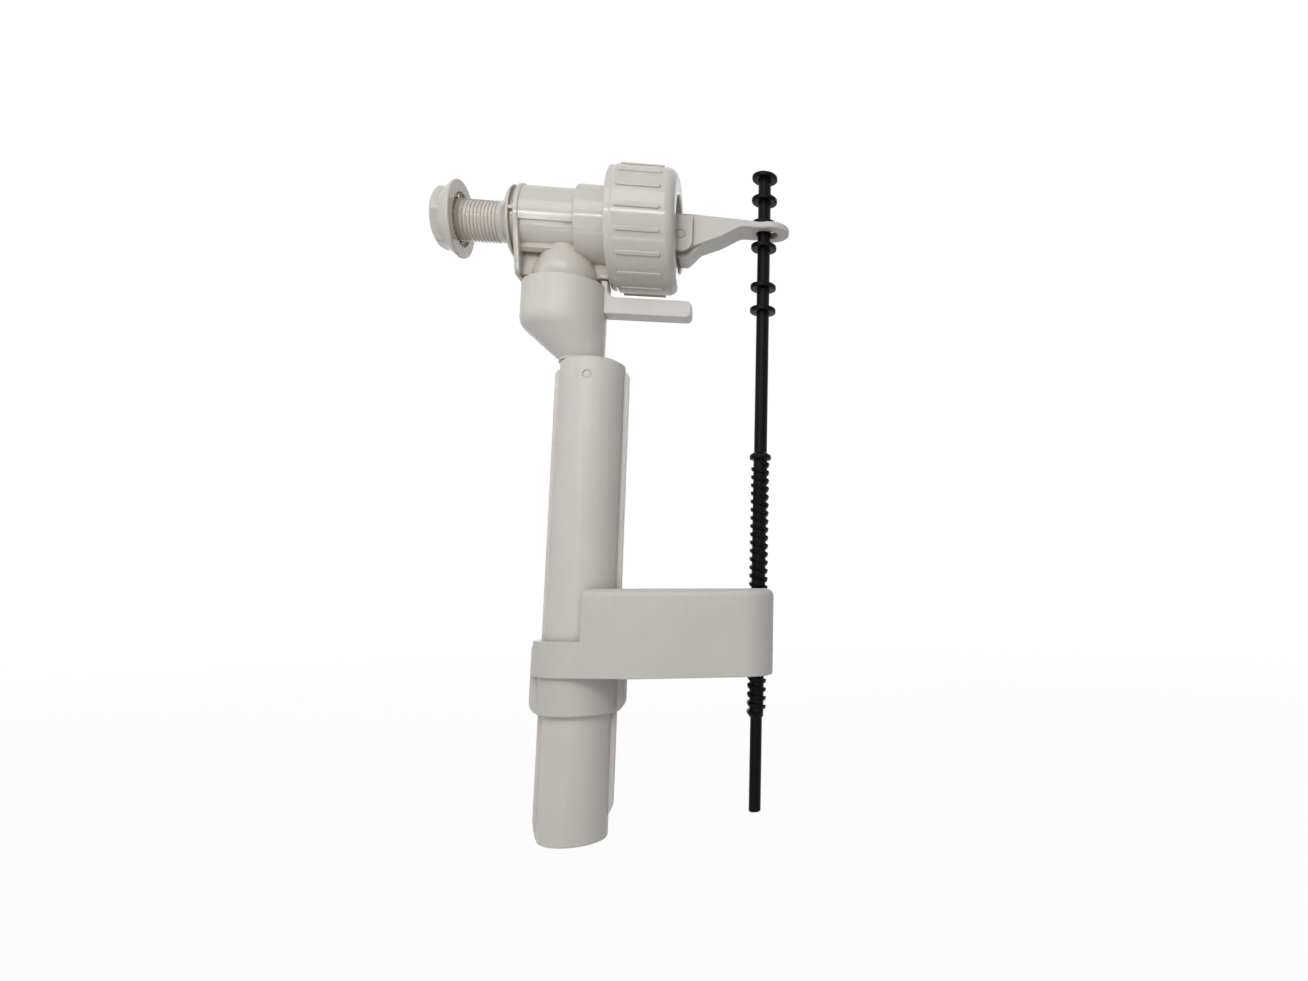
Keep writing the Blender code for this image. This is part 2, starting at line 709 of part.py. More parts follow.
def make_lever():
    """Lever from the pilot seal to the eye that the rod hangs in."""
    eye_bottom = eye_top - eye_thickness
    eye_neck_x = rod_x + eye_offset - eye_radius * eye_neck_share
    side = [(lever_back_x, lever_rear_corner), (lever_back_x, lever_top), (ear_front_x, lever_top)]
    side += [(eye_neck_x, eye_top), (eye_neck_x, eye_bottom), (eye_neck_x - eye_underside, eye_bottom)]
    side += [(eye_neck_x + belly_high[0], eye_bottom + belly_high[1])]
    side += [(pivot_x + belly_low[0], eye_bottom + belly_low[1])]
    side += [(pivot_x + lever_foot_front, lever_foot), (pivot_x - lever_foot_back, lever_foot)]
    place = (pivot_x, 0, pivot_height)
    mesh = outline_mesh("lever", side, -lever_half_width, lever_half_width, "XZ")
    lever = add_part("lever", mesh, satin_white, place)
    eye_center = rod_x + eye_offset
    start = math.degrees(math.asin(lever_half_width / eye_radius))
    plan = arc(eye_center, 0, eye_radius, -180 + start, 180 - start, 20)
    plan += [(eye_neck_x - wall, lever_half_width), (eye_neck_x - wall, -lever_half_width)]
    eye = add_form("eye_plate", outline_mesh("eye_plate", plan, eye_bottom, eye_top))
    join_forms(lever, eye)
    round_end = eye_slot_half_width
    slot = arc(rod_x + eye_slot_front - round_end, 0, round_end, -90, 90, 8)
    slot += arc(rod_x - eye_slot_back + round_end, 0, round_end, 90, 270, 8)
    eye_slot = add_form("eye_slot", outline_mesh("eye_slot", slot, eye_bottom - wall, eye_top + wall))
    hole_profile = rod_profile(pin_radius + fit_gap, -ear_inner_y, ear_inner_y)
    pin_hole = turned("lever_pin_hole", hole_profile, place, "Y", 20)
    pocket_floor = lever_back_x + seal_thickness
    pocket = turned("seal_pocket", rod_profile(seal_radius + fit_gap, lever_back_x - wall, pocket_floor),
                    (0, 0, pilot_height), "X", 20)
    cut_forms(lever, eye_slot, pin_hole, pocket)
    seal_profile = rod_profile(seal_radius, lever_back_x, pocket_floor - fit_gap)
    seal = turned("pilot_seal", seal_profile, (0, 0, pilot_height), "X", 20, black_rubber)
    ride_on(seal, lever)


def make_adaptor():
    """Cup on the outlet boss, eccentric reducer, tube plug with two pegs, and side arm."""
    neck_end = tube_top + fit_gap
    outer = [(neck_end, circle_points(neck_end_x, neck_end_radius))]
    outer += [(neck_end + wall, circle_points(neck_end_x, neck_end_radius))]
    outer += [(cup_crease, circle_points(boss_x, cup_radius)), (cup_top, circle_points(boss_x, cup_radius))]
    adaptor = add_part("outlet_adaptor", stacked_mesh("outlet_adaptor", outer), satin_white)
    plug_bottom = neck_end - plug_length
    plug_radius = tube_bore - fit_gap
    plug = turned("tube_plug", rod_profile(plug_radius, plug_bottom, neck_end + wall / 2), (tube_x, 0, 0))
    peg_reach = tube_radius + pin_stand_out
    pegs = turned("plug_pegs", rod_profile(peg_radius, -peg_reach, peg_reach),
                  (tube_x, 0, tube_top - peg_drop), "Y", 16)
    root_x = boss_x + cup_radius - wall
    low = arm_top - arm_height
    side = [(root_x, arm_leg_top), (root_x, low)]
    side += arc(arm_end_x - arm_corner, low + arm_corner, arm_corner, -90, 0, 4)
    side += arc(arm_end_x - arm_corner, arm_top - arm_corner, arm_corner, 0, 90, 4)
    side += arc(arm_leg_x + arm_fillet, arm_top + arm_fillet, arm_fillet, 270, 180, 4)
    side += [(arm_leg_x, arm_leg_top)]
    arm = add_form("adaptor_arm", outline_mesh("adaptor_arm", side, -arm_half_width, arm_half_width, "XZ"))
    join_forms(adaptor, plug, pegs, arm)
    inner_radius = boss_radius + fit_gap
    inner = [(plug_bottom - wall, circle_points(passage_x, passage_radius))]
    inner += [(neck_end + wall, circle_points(passage_x, passage_radius))]
    inner += [(boss_bottom - fit_gap, circle_points(boss_x, inner_radius))]
    inner += [(cup_top + wall, circle_points(boss_x, inner_radius))]
    passage = add_form("adaptor_passage", stacked_mesh("adaptor_passage", inner))
    cut_forms(adaptor, passage)
    section = arc(boss_radius - ring_wire, ring_height, ring_wire, 0, 300, 5)
    turned("adaptor_ring", section, (boss_x, 0, 0), steps=32, material=black_rubber)


def make_drop_tube():
    low = tube_bottom
    profile = [(tube_radius, tube_top), (tube_radius, low + tube_edge), (tube_radius - tube_edge, low)]
    profile += [(tube_bore, low), (tube_bore, tube_top)]
    tube = turned("drop_tube", profile, (tube_x, 0, 0), steps=48, material=satin_white)
    rail_high = tube_top - rail_top_gap
    root = tube_radius - tube_wall / 2
    rails = ((-1, left_rail_gap, left_rail_taper), (1, right_rail_gap, right_rail_taper))
    for side, gap, taper in rails:
        rail_low = tube_bottom + gap
        points = [(root, rail_low), (root, rail_high), (rail_radius, rail_high - rail_top_taper)]
        points += [(rail_radius, rail_low + taper)]
        points = [(tube_x + side * radius, height) for radius, height in points]
        name = "left_rail" if side < 0 else "right_rail"
        rail = add_form(name, outline_mesh(name, points, -rail_half_width, rail_half_width, "XZ"))
        join_forms(tube, rail)
    reach = tube_radius + wall
    holes = turned("peg_holes", rod_profile(peg_radius + fit_gap, -reach, reach),
                   (tube_x, 0, tube_top - peg_drop), "Y", 16)
    cut_forms(tube, holes)


def make_adjusting_rod():
    """Black rod: discs that carry the lever's eye, a long coarse thread, and a plain foot."""
    place = (rod_x, 0, 0)
    upper = [(0, rod_top)]
    carrier = eye_top + fit_gap + disc_thickness / 2
    heights = sorted(disc_heights + (carrier,), reverse=True)
    edge = disc_thickness * 0.3
    for height in heights:
        top = height + disc_thickness / 2
        low = height - disc_thickness / 2
        if height == heights[0]:
            upper += [(disc_radius - edge, rod_top), (disc_radius, rod_top - edge)]
        else:
            upper += [(rod_upper_radius, top), (disc_radius - edge, top), (disc_radius, top - edge)]
        upper += [(disc_radius, low + edge), (disc_radius - edge, low), (rod_upper_radius, low)]
    stop_low = thread_top - stop_disc_thickness
    upper += [(rod_upper_radius, thread_top), (stop_disc_radius, thread_top), (stop_disc_radius, stop_low)]
    upper += [(rod_upper_radius, stop_low), (rod_lower_radius, thread_bottom)]
    upper += [(rod_lower_radius, rod_bottom), (0, rod_bottom)]
    rod = turned("adjusting_rod", upper, place, steps=16, material=black_plastic)
    screw = thread_mesh("rod_thread", thread_top - stop_disc_thickness / 2, thread_bottom, thread_pitch,
                        thread_root_radius, thread_crest_radius)
    thread = add_form("rod_thread", screw)
    thread.location = place
    join_forms(rod, thread)
    return rod


def float_outline(inset):
    """Plan of the float: a round end about the tube, widening to a box about the rod."""
    hub = float_hub_radius - inset
    half = float_half_width - inset
    end = float_end_x - inset
    corner = float_corner - inset
    away = Vector((float_shoulder_x - tube_x, half))
    touch = math.degrees(math.atan2(away.y, away.x) + math.acos(hub / away.length))
    points = arc(end - corner, -half + corner, corner, -90, 0, 8)
    points += arc(end - corner, half - corner, corner, 0, 90, 8)
    points += [(float_shoulder_x, half)]
    points += arc(tube_x, 0, hub, touch, 360 - touch, 14)
    points += [(float_shoulder_x, -half)]
    return points


def make_float(rod):
    """Inverted cup with a guide collar on the tube, a sleeve on the rod and a clip in its end."""
    sections = [(float_bottom, float_outline(0))]
    for lift, reach in arc(0, 0, float_round, 0, 90, 4):
        sections.append((float_top - float_round + reach, float_outline(float_round - lift)))
    cup = stacked_mesh("float_shell", sections)
    shell = add_part("float_shell", cup, float_white, (rod_x, 0, float_bottom))
    collar_radius = collar_bore + collar_wall
    side = float_half_width + wall
    notch_low = (tube_x - float_hub_radius - wall, -side, float_step)
    notch_high = (float_left, side, float_top + wall)
    notch = add_form("float_notch", box_mesh("float_notch", notch_low, notch_high))
    cut_forms(shell, notch)
    join = float_bottom + wall
    collar_profile = [(0, join), (collar_radius, join), (collar_radius, collar_bottom + collar_edge)]
    collar_profile += [(collar_radius - collar_edge, collar_bottom), (0, collar_bottom)]
    collar = turned("float_collar", collar_profile, (tube_x, 0, 0), steps=36)
    lobe_reach = lobe_bore + lobe_wall
    lobe_low = (tube_x - lobe_reach, -lobe_half_width, collar_bottom + lobe_lift)
    lobe_high = (tube_x + lobe_reach, lobe_half_width, float_step - collar_edge)
    lobes = add_form("collar_lobes", box_mesh("collar_lobes", lobe_low, lobe_high))
    join_forms(shell, collar, lobes)

    inner = float_outline(wall)
    under = float_bottom - wall
    room = [(under, inner), (float_top - wall, inner)]
    cavity = add_form("float_cavity", stacked_mesh("float_cavity", room))
    guide_profile = rod_profile(collar_radius + fit_gap, under - wall, float_top)
    guide = turned("tube_sleeve", guide_profile, (tube_x, 0, 0), steps=36)
    rail_low = (tube_x - lobe_reach - fit_gap, -lobe_half_width - fit_gap, under - wall)
    rail_high = (tube_x + lobe_reach + fit_gap, lobe_half_width + fit_gap, float_top)
    rail_sleeve = add_form("rail_sleeve", box_mesh("rail_sleeve", rail_low, rail_high))
    sleeve_profile = rod_profile(rod_bore + wall, under - wall, float_top)
    rod_sleeve = turned("rod_sleeve", sleeve_profile, (rod_x, 0, 0), steps=24)
    left_low = (notch_low[0], -side, float_step - wall)
    left_wall = add_form("left_wall", box_mesh("left_wall", left_low, (float_left + wall, side, float_top)))
    cut_forms(cavity, guide, rail_sleeve, rod_sleeve, left_wall)
    low = collar_bottom - wall
    high = float_top + wall
    tube_hole = turned("tube_hole", rod_profile(collar_bore, low, high), (tube_x, 0, 0), steps=36)
    channel = rail_half_width + slide_gap
    channel_low = (tube_x - lobe_bore, -channel, low - wall)
    channel_high = (tube_x + lobe_bore, channel, high + wall)
    join_forms(tube_hole, add_form("rail_channel", box_mesh("rail_channel", channel_low, channel_high)))
    rod_hole = turned("rod_hole", rod_profile(rod_bore, low, high), (rod_x, 0, 0), steps=24)
    clip_back = rod_x + thread_root_radius / 2
    window_half = clip_half_width + fit_gap
    window_low = (clip_back, -window_half, clip_top - clip_height - fit_gap)
    window_high = (float_end_x + wall, window_half, clip_top + fit_gap)
    window = add_form("clip_window", box_mesh("clip_window", window_low, window_high))
    cut_forms(shell, cavity, rod_hole, window, tube_hole)

    clip_low = (clip_back + fit_gap, -clip_half_width, clip_top - clip_height)
    clip = box_mesh("rod_clip", clip_low, (float_end_x, clip_half_width, clip_top))
    rod_clip = add_part("rod_clip", clip, float_white, (rod_x, 0, clip_top))
    cut_forms(rod_clip, rod_hole)
    ride_on(rod_clip, shell)
    ride_on(shell, rod)


def make_backnut():
    """Flanged hexagon nut that clamps the cistern wall."""
    end = -shank_length - backnut_overhang
    hex_start = end + backnut_hex_length
    cone = hex_start + backnut_flange_cone
    face = cone + backnut_flange_rim
    flange = [(0, face), (backnut_flange_radius, face), (backnut_flange_radius, cone)]
    flange += [(backnut_hex_radius - wall, hex_start), (0, hex_start)]
    nut = turned("backnut", flange, along="X", material=glossy_white)
    prism_profile = [(0, cone), (backnut_hex_radius, cone), (backnut_hex_radius, end + backnut_dome)]
    prism_profile += [(backnut_hex_radius - backnut_dome, end), (0, end)]
    prism = turned("nut_hexagon", prism_profile, along="X", steps=6)
    prism.rotation_mode = "ZYX"
    prism.rotation_euler = (backnut_turn, math.pi / 2, 0)
    join_forms(nut, prism)
    bore = rod_profile(shank_radius + fit_gap, end - wall, face + wall)
    cut_forms(nut, turned("nut_bore", bore, along="X"))


glossy_white = plastic("glossy white plastic", (0.58, 0.55, 0.51), 0.28)
satin_white = plastic("satin white plastic", (0.60, 0.58, 0.55), 0.45)
float_white = plastic("float white plastic", (0.50, 0.48, 0.45), 0.5)
grey_plastic = plastic("grey plastic", (0.35, 0.36, 0.37), 0.5)
green_plastic = plastic("green plastic", (0.12, 0.35, 0.22), 0.5)
black_plastic = plastic("black plastic", (0.01, 0.01, 0.012), 0.4)
black_rubber = plastic("black rubber", (0.015, 0.015, 0.015), 0.8)
steel = plastic("stainless steel", (0.6, 0.6, 0.6), 0.35, 1.0)

make_valve_body()
make_shank_parts()
make_diaphragm()
make_bonnet()
make_cap_nut()
make_lever()
make_adaptor()
make_drop_tube()
adjusting_rod = make_adjusting_rod()
make_float(adjusting_rod)
make_backnut()
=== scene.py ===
import math

import bmesh
import bpy
from mathutils import Matrix, Vector


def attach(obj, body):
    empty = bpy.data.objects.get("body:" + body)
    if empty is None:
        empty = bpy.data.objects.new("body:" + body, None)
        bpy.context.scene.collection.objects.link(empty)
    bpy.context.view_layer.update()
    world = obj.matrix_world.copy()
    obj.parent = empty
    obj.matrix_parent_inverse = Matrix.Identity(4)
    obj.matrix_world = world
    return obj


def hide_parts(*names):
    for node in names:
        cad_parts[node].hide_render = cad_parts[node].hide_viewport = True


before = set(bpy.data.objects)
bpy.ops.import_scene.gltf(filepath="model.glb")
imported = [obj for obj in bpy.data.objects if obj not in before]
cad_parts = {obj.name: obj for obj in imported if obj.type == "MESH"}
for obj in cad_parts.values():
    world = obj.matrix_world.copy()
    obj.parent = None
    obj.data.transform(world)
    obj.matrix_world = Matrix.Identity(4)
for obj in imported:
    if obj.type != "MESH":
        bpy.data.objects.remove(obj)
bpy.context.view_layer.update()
mm = 0.001


# Wire is a socket that takes sums, Graph adds nodes to a tree
class Wire:
    def __init__(self, graph, socket):
        self.graph = graph
        self.socket = socket

    def math(self, operation, first, second=None):
        values = [first] if second is None else [first, second]
        return self.graph.add("ShaderNodeMath", {"operation": operation}, values)

    def __add__(self, other):
        return self.math("ADD", self, other)

    def __radd__(self, other):
        return self.math("ADD", other, self)

    def __sub__(self, other):
        return self.math("SUBTRACT", self, other)

    def __rsub__(self, other):
        return self.math("SUBTRACT", other, self)

    def __mul__(self, other):
        return self.math("MULTIPLY", self, other)

    def __rtruediv__(self, other):
        return self.math("DIVIDE", other, self)

    def spread(self, low, high, newLow=0.0, newHigh=1.0):
        sockets = {"From Min": low, "From Max": high, "To Min": newLow, "To Max": newHigh, "Value": self}
        return self.graph.add("ShaderNodeMapRange", {"interpolation_type": "SMOOTHSTEP"}, sockets)


class Graph:
    def __init__(self, tree):
        self.tree = tree

    def add(self, kind, settings=None, values=(), out=0):
        node = self.tree.nodes.new(kind)
        for name, setting in (settings or {}).items():
            setattr(node, name, setting)
        pairs = values.items() if isinstance(values, dict) else enumerate(values)
        for key, value in pairs:
            self.feed(node.inputs[key], value)
        return Wire(self, node.outputs[out])

    def feed(self, socket, value):
        if isinstance(value, Wire):
            self.tree.links.new(value.socket, socket)
        else:
            socket.default_value = value

    def blend(self, share, first, second, mode="MIX"):
        settings = {"data_type": "RGBA", "blend_type": mode}
        return self.add("ShaderNodeMix", settings, {0: share, 6: first, 7: second}, out=2)

    def noise(self, point, scale, detail=2.0, roughness=0.5):
        return self.add("ShaderNodeTexNoise", {}, {"Vector": point, "Scale": scale, "Detail": detail,
                                                   "Roughness": roughness})


# the mesh helpers take sizes in millimetres
def softCorners(points, closed=True):
    soft = []                                   # a third number on a point is how far its corner is rounded
    for index, point in enumerate(points):
        here = Vector(point[:2])
        ends = not closed and index in (0, len(points) - 1)
        if len(point) < 3 or point[2] == 0 or ends:
            soft.append(here)
            continue
        back = Vector(points[index - 1][:2]) - here
        ahead = Vector(points[(index + 1) % len(points)][:2]) - here
        reach = min(point[2], back.length * 0.48, ahead.length * 0.48)
        start = here + back.normalized() * reach
        end = here + ahead.normalized() * reach
        pull = math.sin(back.angle(ahead) / 2)  # this weight makes the curve a circle's arc
        steps = 2 + int(min(9, reach * 2.5))
        for step in range(steps + 1):
            share = step / steps
            weights = ((1 - share) ** 2, 2 * pull * share * (1 - share), share ** 2)
            soft.append((start * weights[0] + here * weights[1] + end * weights[2]) / sum(weights))
    return soft


def circle(centre, radius, count=96, start=0.0, sweep=360.0):
    whole = sweep == 360.0
    angles = [math.radians(start + sweep * i / (count if whole else count - 1)) for i in range(count)]
    return [Vector((centre[0] + radius * math.cos(a), centre[1] + radius * math.sin(a))) for a in angles]


def shapeFrom(builder, name="shape"):
    bmesh.ops.recalc_face_normals(builder, faces=builder.faces)
    mesh = bpy.data.meshes.new(name)
    builder.to_mesh(mesh)
    builder.free()
    mesh.transform(Matrix.Scale(mm, 4))
    shape = bpy.data.objects.new(name, mesh)
    bpy.context.scene.collection.objects.link(shape)
    return shape


def spin(profile, axis="Z", place=(0, 0, 0), segments=96):
    ring = softCorners(profile)                 # (radius, height, corner) round a closed outline
    builder = bmesh.new()
    poles = {}
    columns = []
    for number in range(segments):
        angle = math.tau * (number + 0.5) / segments
        column = []
        for row, (radius, height) in enumerate(ring):
            if radius > 1e-6:
                column.append(builder.verts.new((radius * math.cos(angle), radius * math.sin(angle), height)))
            else:
                if row not in poles:
                    poles[row] = builder.verts.new((0, 0, height))
                column.append(poles[row])
        columns.append(column)
    for number, left in enumerate(columns):
        right = columns[(number + 1) % segments]
        for row in range(len(ring)):
            after = (row + 1) % len(ring)
            corners = list(dict.fromkeys((left[row], right[row], right[after], left[after])))
            if len(corners) > 2:
                builder.faces.new(corners)
    turn = {"X": Matrix.Rotation(math.pi / 2, 4, "Y"), "Y": Matrix.Rotation(-math.pi / 2, 4, "X")}
    matrix = Matrix.Translation(place) @ turn.get(axis, Matrix())
    bmesh.ops.transform(builder, matrix=matrix, verts=builder.verts)
    return shapeFrom(builder)


def slab(outline, low, high, plane="XY", edge=0.0, rounds=3):
    points = softCorners(outline)
    place = {"XY": lambda u, v, w: (u, v, w), "XZ": lambda u, v, w: (u, w, v),
             "YZ": lambda u, v, w: (w, u, v)}
    builder = bmesh.new()
    lower = [builder.verts.new(place[plane](u, v, low)) for u, v in points]
    upper = [builder.verts.new(place[plane](u, v, high)) for u, v in points]
    caps = [builder.faces.new(lower), builder.faces.new(upper)]
    for i in range(len(points)):
        j = (i + 1) % len(points)
        builder.faces.new((lower[i], lower[j], upper[j], upper[i]))
    bmesh.ops.recalc_face_normals(builder, faces=builder.faces)
    if edge:
        rims = list({e for cap in caps for e in cap.edges})
        bmesh.ops.bevel(builder, geom=rims, offset=edge, segments=rounds, profile=0.5, affect="EDGES",
                        clamp_overlap=True)
    return shapeFrom(builder)


def brick(low, high, edge=0.0, rounds=3):
    builder = bmesh.new()
    bmesh.ops.create_cube(builder, size=1)
    for vertex in builder.verts:
        for axis in range(3):
            vertex.co[axis] = high[axis] if vertex.co[axis] > 0 else low[axis]
    if edge:
        bmesh.ops.bevel(builder, geom=builder.edges[:], offset=edge, segments=rounds, profile=0.5,
                        affect="EDGES", clamp_overlap=True)
    return shapeFrom(builder)


def loft(sections):
    builder = bmesh.new()                       # each section is a list of points, all of one length
    rings = [[builder.verts.new(point) for point in section] for section in sections]
    for lower, upper in zip(rings, rings[1:]):
        for i in range(len(lower)):
            j = (i + 1) % len(lower)
            builder.faces.new((lower[i], lower[j], upper[j], upper[i]))
    builder.faces.new(rings[0])
    builder.faces.new(rings[-1])
    return shapeFrom(builder)


def rolled(shape, degrees, axis="X", about=(0, 0, 0)):
    centre = Matrix.Translation(Vector(about) * mm)
    shape.data.transform(centre @ Matrix.Rotation(math.radians(degrees), 4, axis) @ centre.inverted())
    return shape


def bake(shape):
    bpy.context.view_layer.update()
    graph = bpy.context.evaluated_depsgraph_get()
    mesh = bpy.data.meshes.new_from_object(shape.evaluated_get(graph))
    shape.modifiers.clear()
    shape.data = mesh
    return shape


def combine(target, tools, operation):
    for tool in tools:
        modifier = target.modifiers.new("combine", "BOOLEAN")
        modifier.operation = operation
        modifier.solver = "EXACT"
        modifier.object = tool
        bake(target)
        bpy.data.objects.remove(tool)
    return target


def fuse(target, *tools):
    return combine(target, tools, "UNION")


def carve(target, *tools):
    return combine(target, tools, "DIFFERENCE")


def keepWithin(target, tool):
    return combine(target, [tool], "INTERSECT")


def finishPiece(shape, name, body, nodes, material, crease=32):
    mesh = shape.data
    builder = bmesh.new()
    builder.from_mesh(mesh)
    bmesh.ops.remove_doubles(builder, verts=builder.verts, dist=0.002 * mm)
    bmesh.ops.dissolve_degenerate(builder, edges=builder.edges, dist=0.001 * mm)
    openEdges = sum(1 for edge in builder.edges if not edge.is_manifold)
    builder.to_mesh(mesh)
    builder.free()
    mesh.materials.clear()
    mesh.materials.append(material)
    mesh.shade_smooth()
    mesh.set_sharp_from_angle(angle=math.radians(crease))
    weighted = shape.modifiers.new("even normals", "WEIGHTED_NORMAL")
    weighted.keep_sharp = True
    bake(shape)
    shape.name = name
    shape.data.name = name
    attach(shape, body)
    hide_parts(*nodes)
    print(f"{name}: {len(shape.data.polygons)} faces, {openEdges} open edges, rides on {body}")
    return shape


# geometry node trees for what repeats
def newTree(name, sizes):
    tree = bpy.data.node_groups.new(name, "GeometryNodeTree")
    kinds = {int: "NodeSocketInt", float: "NodeSocketFloat"}
    for label, value in sizes.items():
        socket = tree.interface.new_socket(label, in_out="INPUT", socket_type=kinds[type(value)])
        socket.default_value = value
    tree.interface.new_socket("Geometry", in_out="OUTPUT", socket_type="NodeSocketGeometry")
    graph = Graph(tree)
    entry = tree.nodes.new("NodeGroupInput")
    return graph, {label: Wire(graph, entry.outputs[label]) for label in sizes}


def runTree(graph, result, sizes, material):
    solid = graph.add("GeometryNodeRealizeInstances", {}, [result])
    painted = graph.add("GeometryNodeSetMaterial", {}, {"Geometry": solid, "Material": material})
    leave = graph.tree.nodes.new("NodeGroupOutput")
    graph.tree.links.new(painted.socket, leave.inputs[0])
    holder = bpy.data.objects.new(graph.tree.name, bpy.data.meshes.new(graph.tree.name))
    bpy.context.scene.collection.objects.link(holder)
    modifier = holder.modifiers.new(graph.tree.name, "NODES")
    modifier.node_group = graph.tree
    for item in graph.tree.interface.items_tree:
        if item.in_out == "INPUT" and item.name in sizes:
            modifier[item.identifier] = sizes[item.name]
    return bake(holder)


def threadRidge(name, sizes, section, material):
    # a ridge that climbs +Z, its section's corners being (out, along) in shares of depth and pitch
    graph, wires = newTree(name, sizes)
    spiral = graph.add("GeometryNodeCurveSpiral", {}, {
        "Resolution": wires["Steps per turn"], "Rotations": wires["Turns"],
        "Start Radius": wires["Root radius"], "End Radius": wires["Root radius"],
        "Height": wires["Turns"] * wires["Pitch"]})
    upright = graph.add("GeometryNodeSetCurveNormal", {"mode": "Z_UP"}, {"Curve": spiral})
    ends = graph.add("GeometryNodeSplineParameter")
    fade = 1 - ends.math("ABSOLUTE", ends * 2 - 1)
    grow = fade.spread(0.0, wires["Fade share"]) * 0.9 + 0.1
    corners = []
    for out, along in section:
        corner = [wires["Pitch"] * along, wires["Depth"] * out, 0.0]
        corners.append(graph.add("ShaderNodeCombineXYZ", {}, corner))
    quad = graph.add("GeometryNodeCurvePrimitiveQuadrilateral", {"mode": "POINTS"},
                     {f"Point {i + 1}": corner for i, corner in enumerate(corners)})
    crest = graph.add("GeometryNodeFilletCurve", {"mode": "POLY"}, {
        "Curve": quad, "Count": 3, "Radius": wires["Crest round"], "Limit Radius": True})
    ridge = graph.add("GeometryNodeCurveToMesh", {}, {
        "Curve": upright, "Profile Curve": crest, "Scale": grow, "Fill Caps": True})
    return runTree(graph, ridge, sizes, material)


def ringOf(name, sizes, unit, material):
    # copies of a unit round the X axis, the unit standing at angle 0 on +Y
    graph, wires = newTree(name, sizes)
    points = graph.add("GeometryNodePoints", {}, {"Count": wires["Count"]})
    order = graph.add("GeometryNodeInputIndex")
    angle = (order + wires["Start"]) * (math.tau / wires["Count"])
    turn = graph.add("ShaderNodeCombineXYZ", {}, [angle, 0.0, 0.0])
    source = graph.add("GeometryNodeObjectInfo", {"transform_space": "ORIGINAL"}, {"Object": unit},
                       out="Geometry")
    copies = graph.add("GeometryNodeInstanceOnPoints", {}, {
        "Points": points, "Instance": source, "Rotation": turn})
    shape = runTree(graph, copies, sizes, material)
    bpy.data.objects.remove(unit)
    return shape


plastics = {
    # colour, roughness, roughness spread, bump, stretch of the flow lines, painted shade in the corners
    "glossy white": ((0.590, 0.560, 0.522), 0.13, 0.07, 0.05, (1, 1, 1), 1.0),
    "tail white": ((0.590, 0.556, 0.500), 0.36, 0.10, 0.10, (1, 1, 1), 1.0),
    "satin white": ((0.605, 0.578, 0.550), 0.40, 0.12, 0.10, (1, 1, 0.05), 0.7),
    "float white": ((0.545, 0.528, 0.498), 0.50, 0.12, 0.14, (1, 1, 0.25), 0.45),
    "lever white": ((0.580, 0.555, 0.525), 0.38, 0.12, 0.10, (0.2, 1, 1), 0.95),
    "grey insert": ((0.350, 0.360, 0.370), 0.45, 0.12, 0.10, (1, 1, 1), 0.2),
    "green insert": ((0.120, 0.350, 0.220), 0.45, 0.12, 0.10, (1, 1, 1), 0.2),
}


def plastic(name):
    color, rough, roughSpread, bumpDepth, stretch, paintedShadeShare = plastics[name]
    material = bpy.data.materials.new(name)
    material.use_nodes = True
    graph = Graph(material.node_tree)
    shader = material.node_tree.nodes["Principled BSDF"]
    point = graph.add("ShaderNodeTexCoord", out="Object")
    drawn = graph.add("ShaderNodeMapping", {}, {"Vector": point, "Scale": stretch})
    cloud = graph.noise(point, 55.0, 3.0)                       # slow change across a hand's width
    flow = graph.noise(drawn, 420.0, 3.0, 0.6)                  # faint lines where the plastic flowed
    grain = graph.noise(point, 3200.0, 2.0, 0.6)                # the mould's spark finish
    specks = graph.noise(point, 900.0, 1.0).spread(0.66, 0.74)  # a few dull scuffs
    shade = (cloud - 0.5) * 0.10 + (flow - 0.5) * 0.05
    plain = tuple(c * 0.965 for c in color) + (1.0,)
    # painted shade: a darker, warmer tone that the corners and crevices take instead of real shading
    paintedShadeTone = tuple(c * k for c, k in zip(color, (0.80, 0.775, 0.68))) + (1.0,)
    bright = tuple(min(1.0, c * 1.10) for c in color) + (1.0,)
    # painted shade mask: ambient occlusion finds crevices and recesses, and the colour is darkened there
    crevice = graph.add("ShaderNodeAmbientOcclusion", {"samples": 8}, {"Distance": 5 * mm}, out="AO")
    corner = crevice.spread(0.30, 0.95, 1.0, 0.0)
    tone = graph.blend(shade.spread(-0.06, 0.06), plain, bright)
    graph.feed(shader.inputs["Base Color"], graph.blend(corner * paintedShadeShare, tone, paintedShadeTone))
    gloss = rough + (flow - 0.5) * roughSpread + (cloud - 0.5) * roughSpread + specks * 0.12
    graph.feed(shader.inputs["Roughness"], gloss)
    relief = grain * 0.35 + flow * 0.65
    bump = graph.add("ShaderNodeBump", {}, {"Strength": bumpDepth, "Distance": 0.12 * mm, "Height": relief})
    graph.feed(shader.inputs["Normal"], bump)
    shader.inputs["IOR"].default_value = 1.48
    shader.inputs["Subsurface Weight"].default_value = 0.10
    shader.inputs["Subsurface Radius"].default_value = (1.0, 0.85, 0.6)
    shader.inputs["Subsurface Scale"].default_value = 1.2 * mm
    return material


darks = {
    # colour, roughness, bump, grain size
    "rod black": ((0.0024, 0.0025, 0.0030), 0.34, 0.12, 900.0),
    "rubber black": ((0.012, 0.012, 0.013), 0.70, 0.35, 1800.0),
}


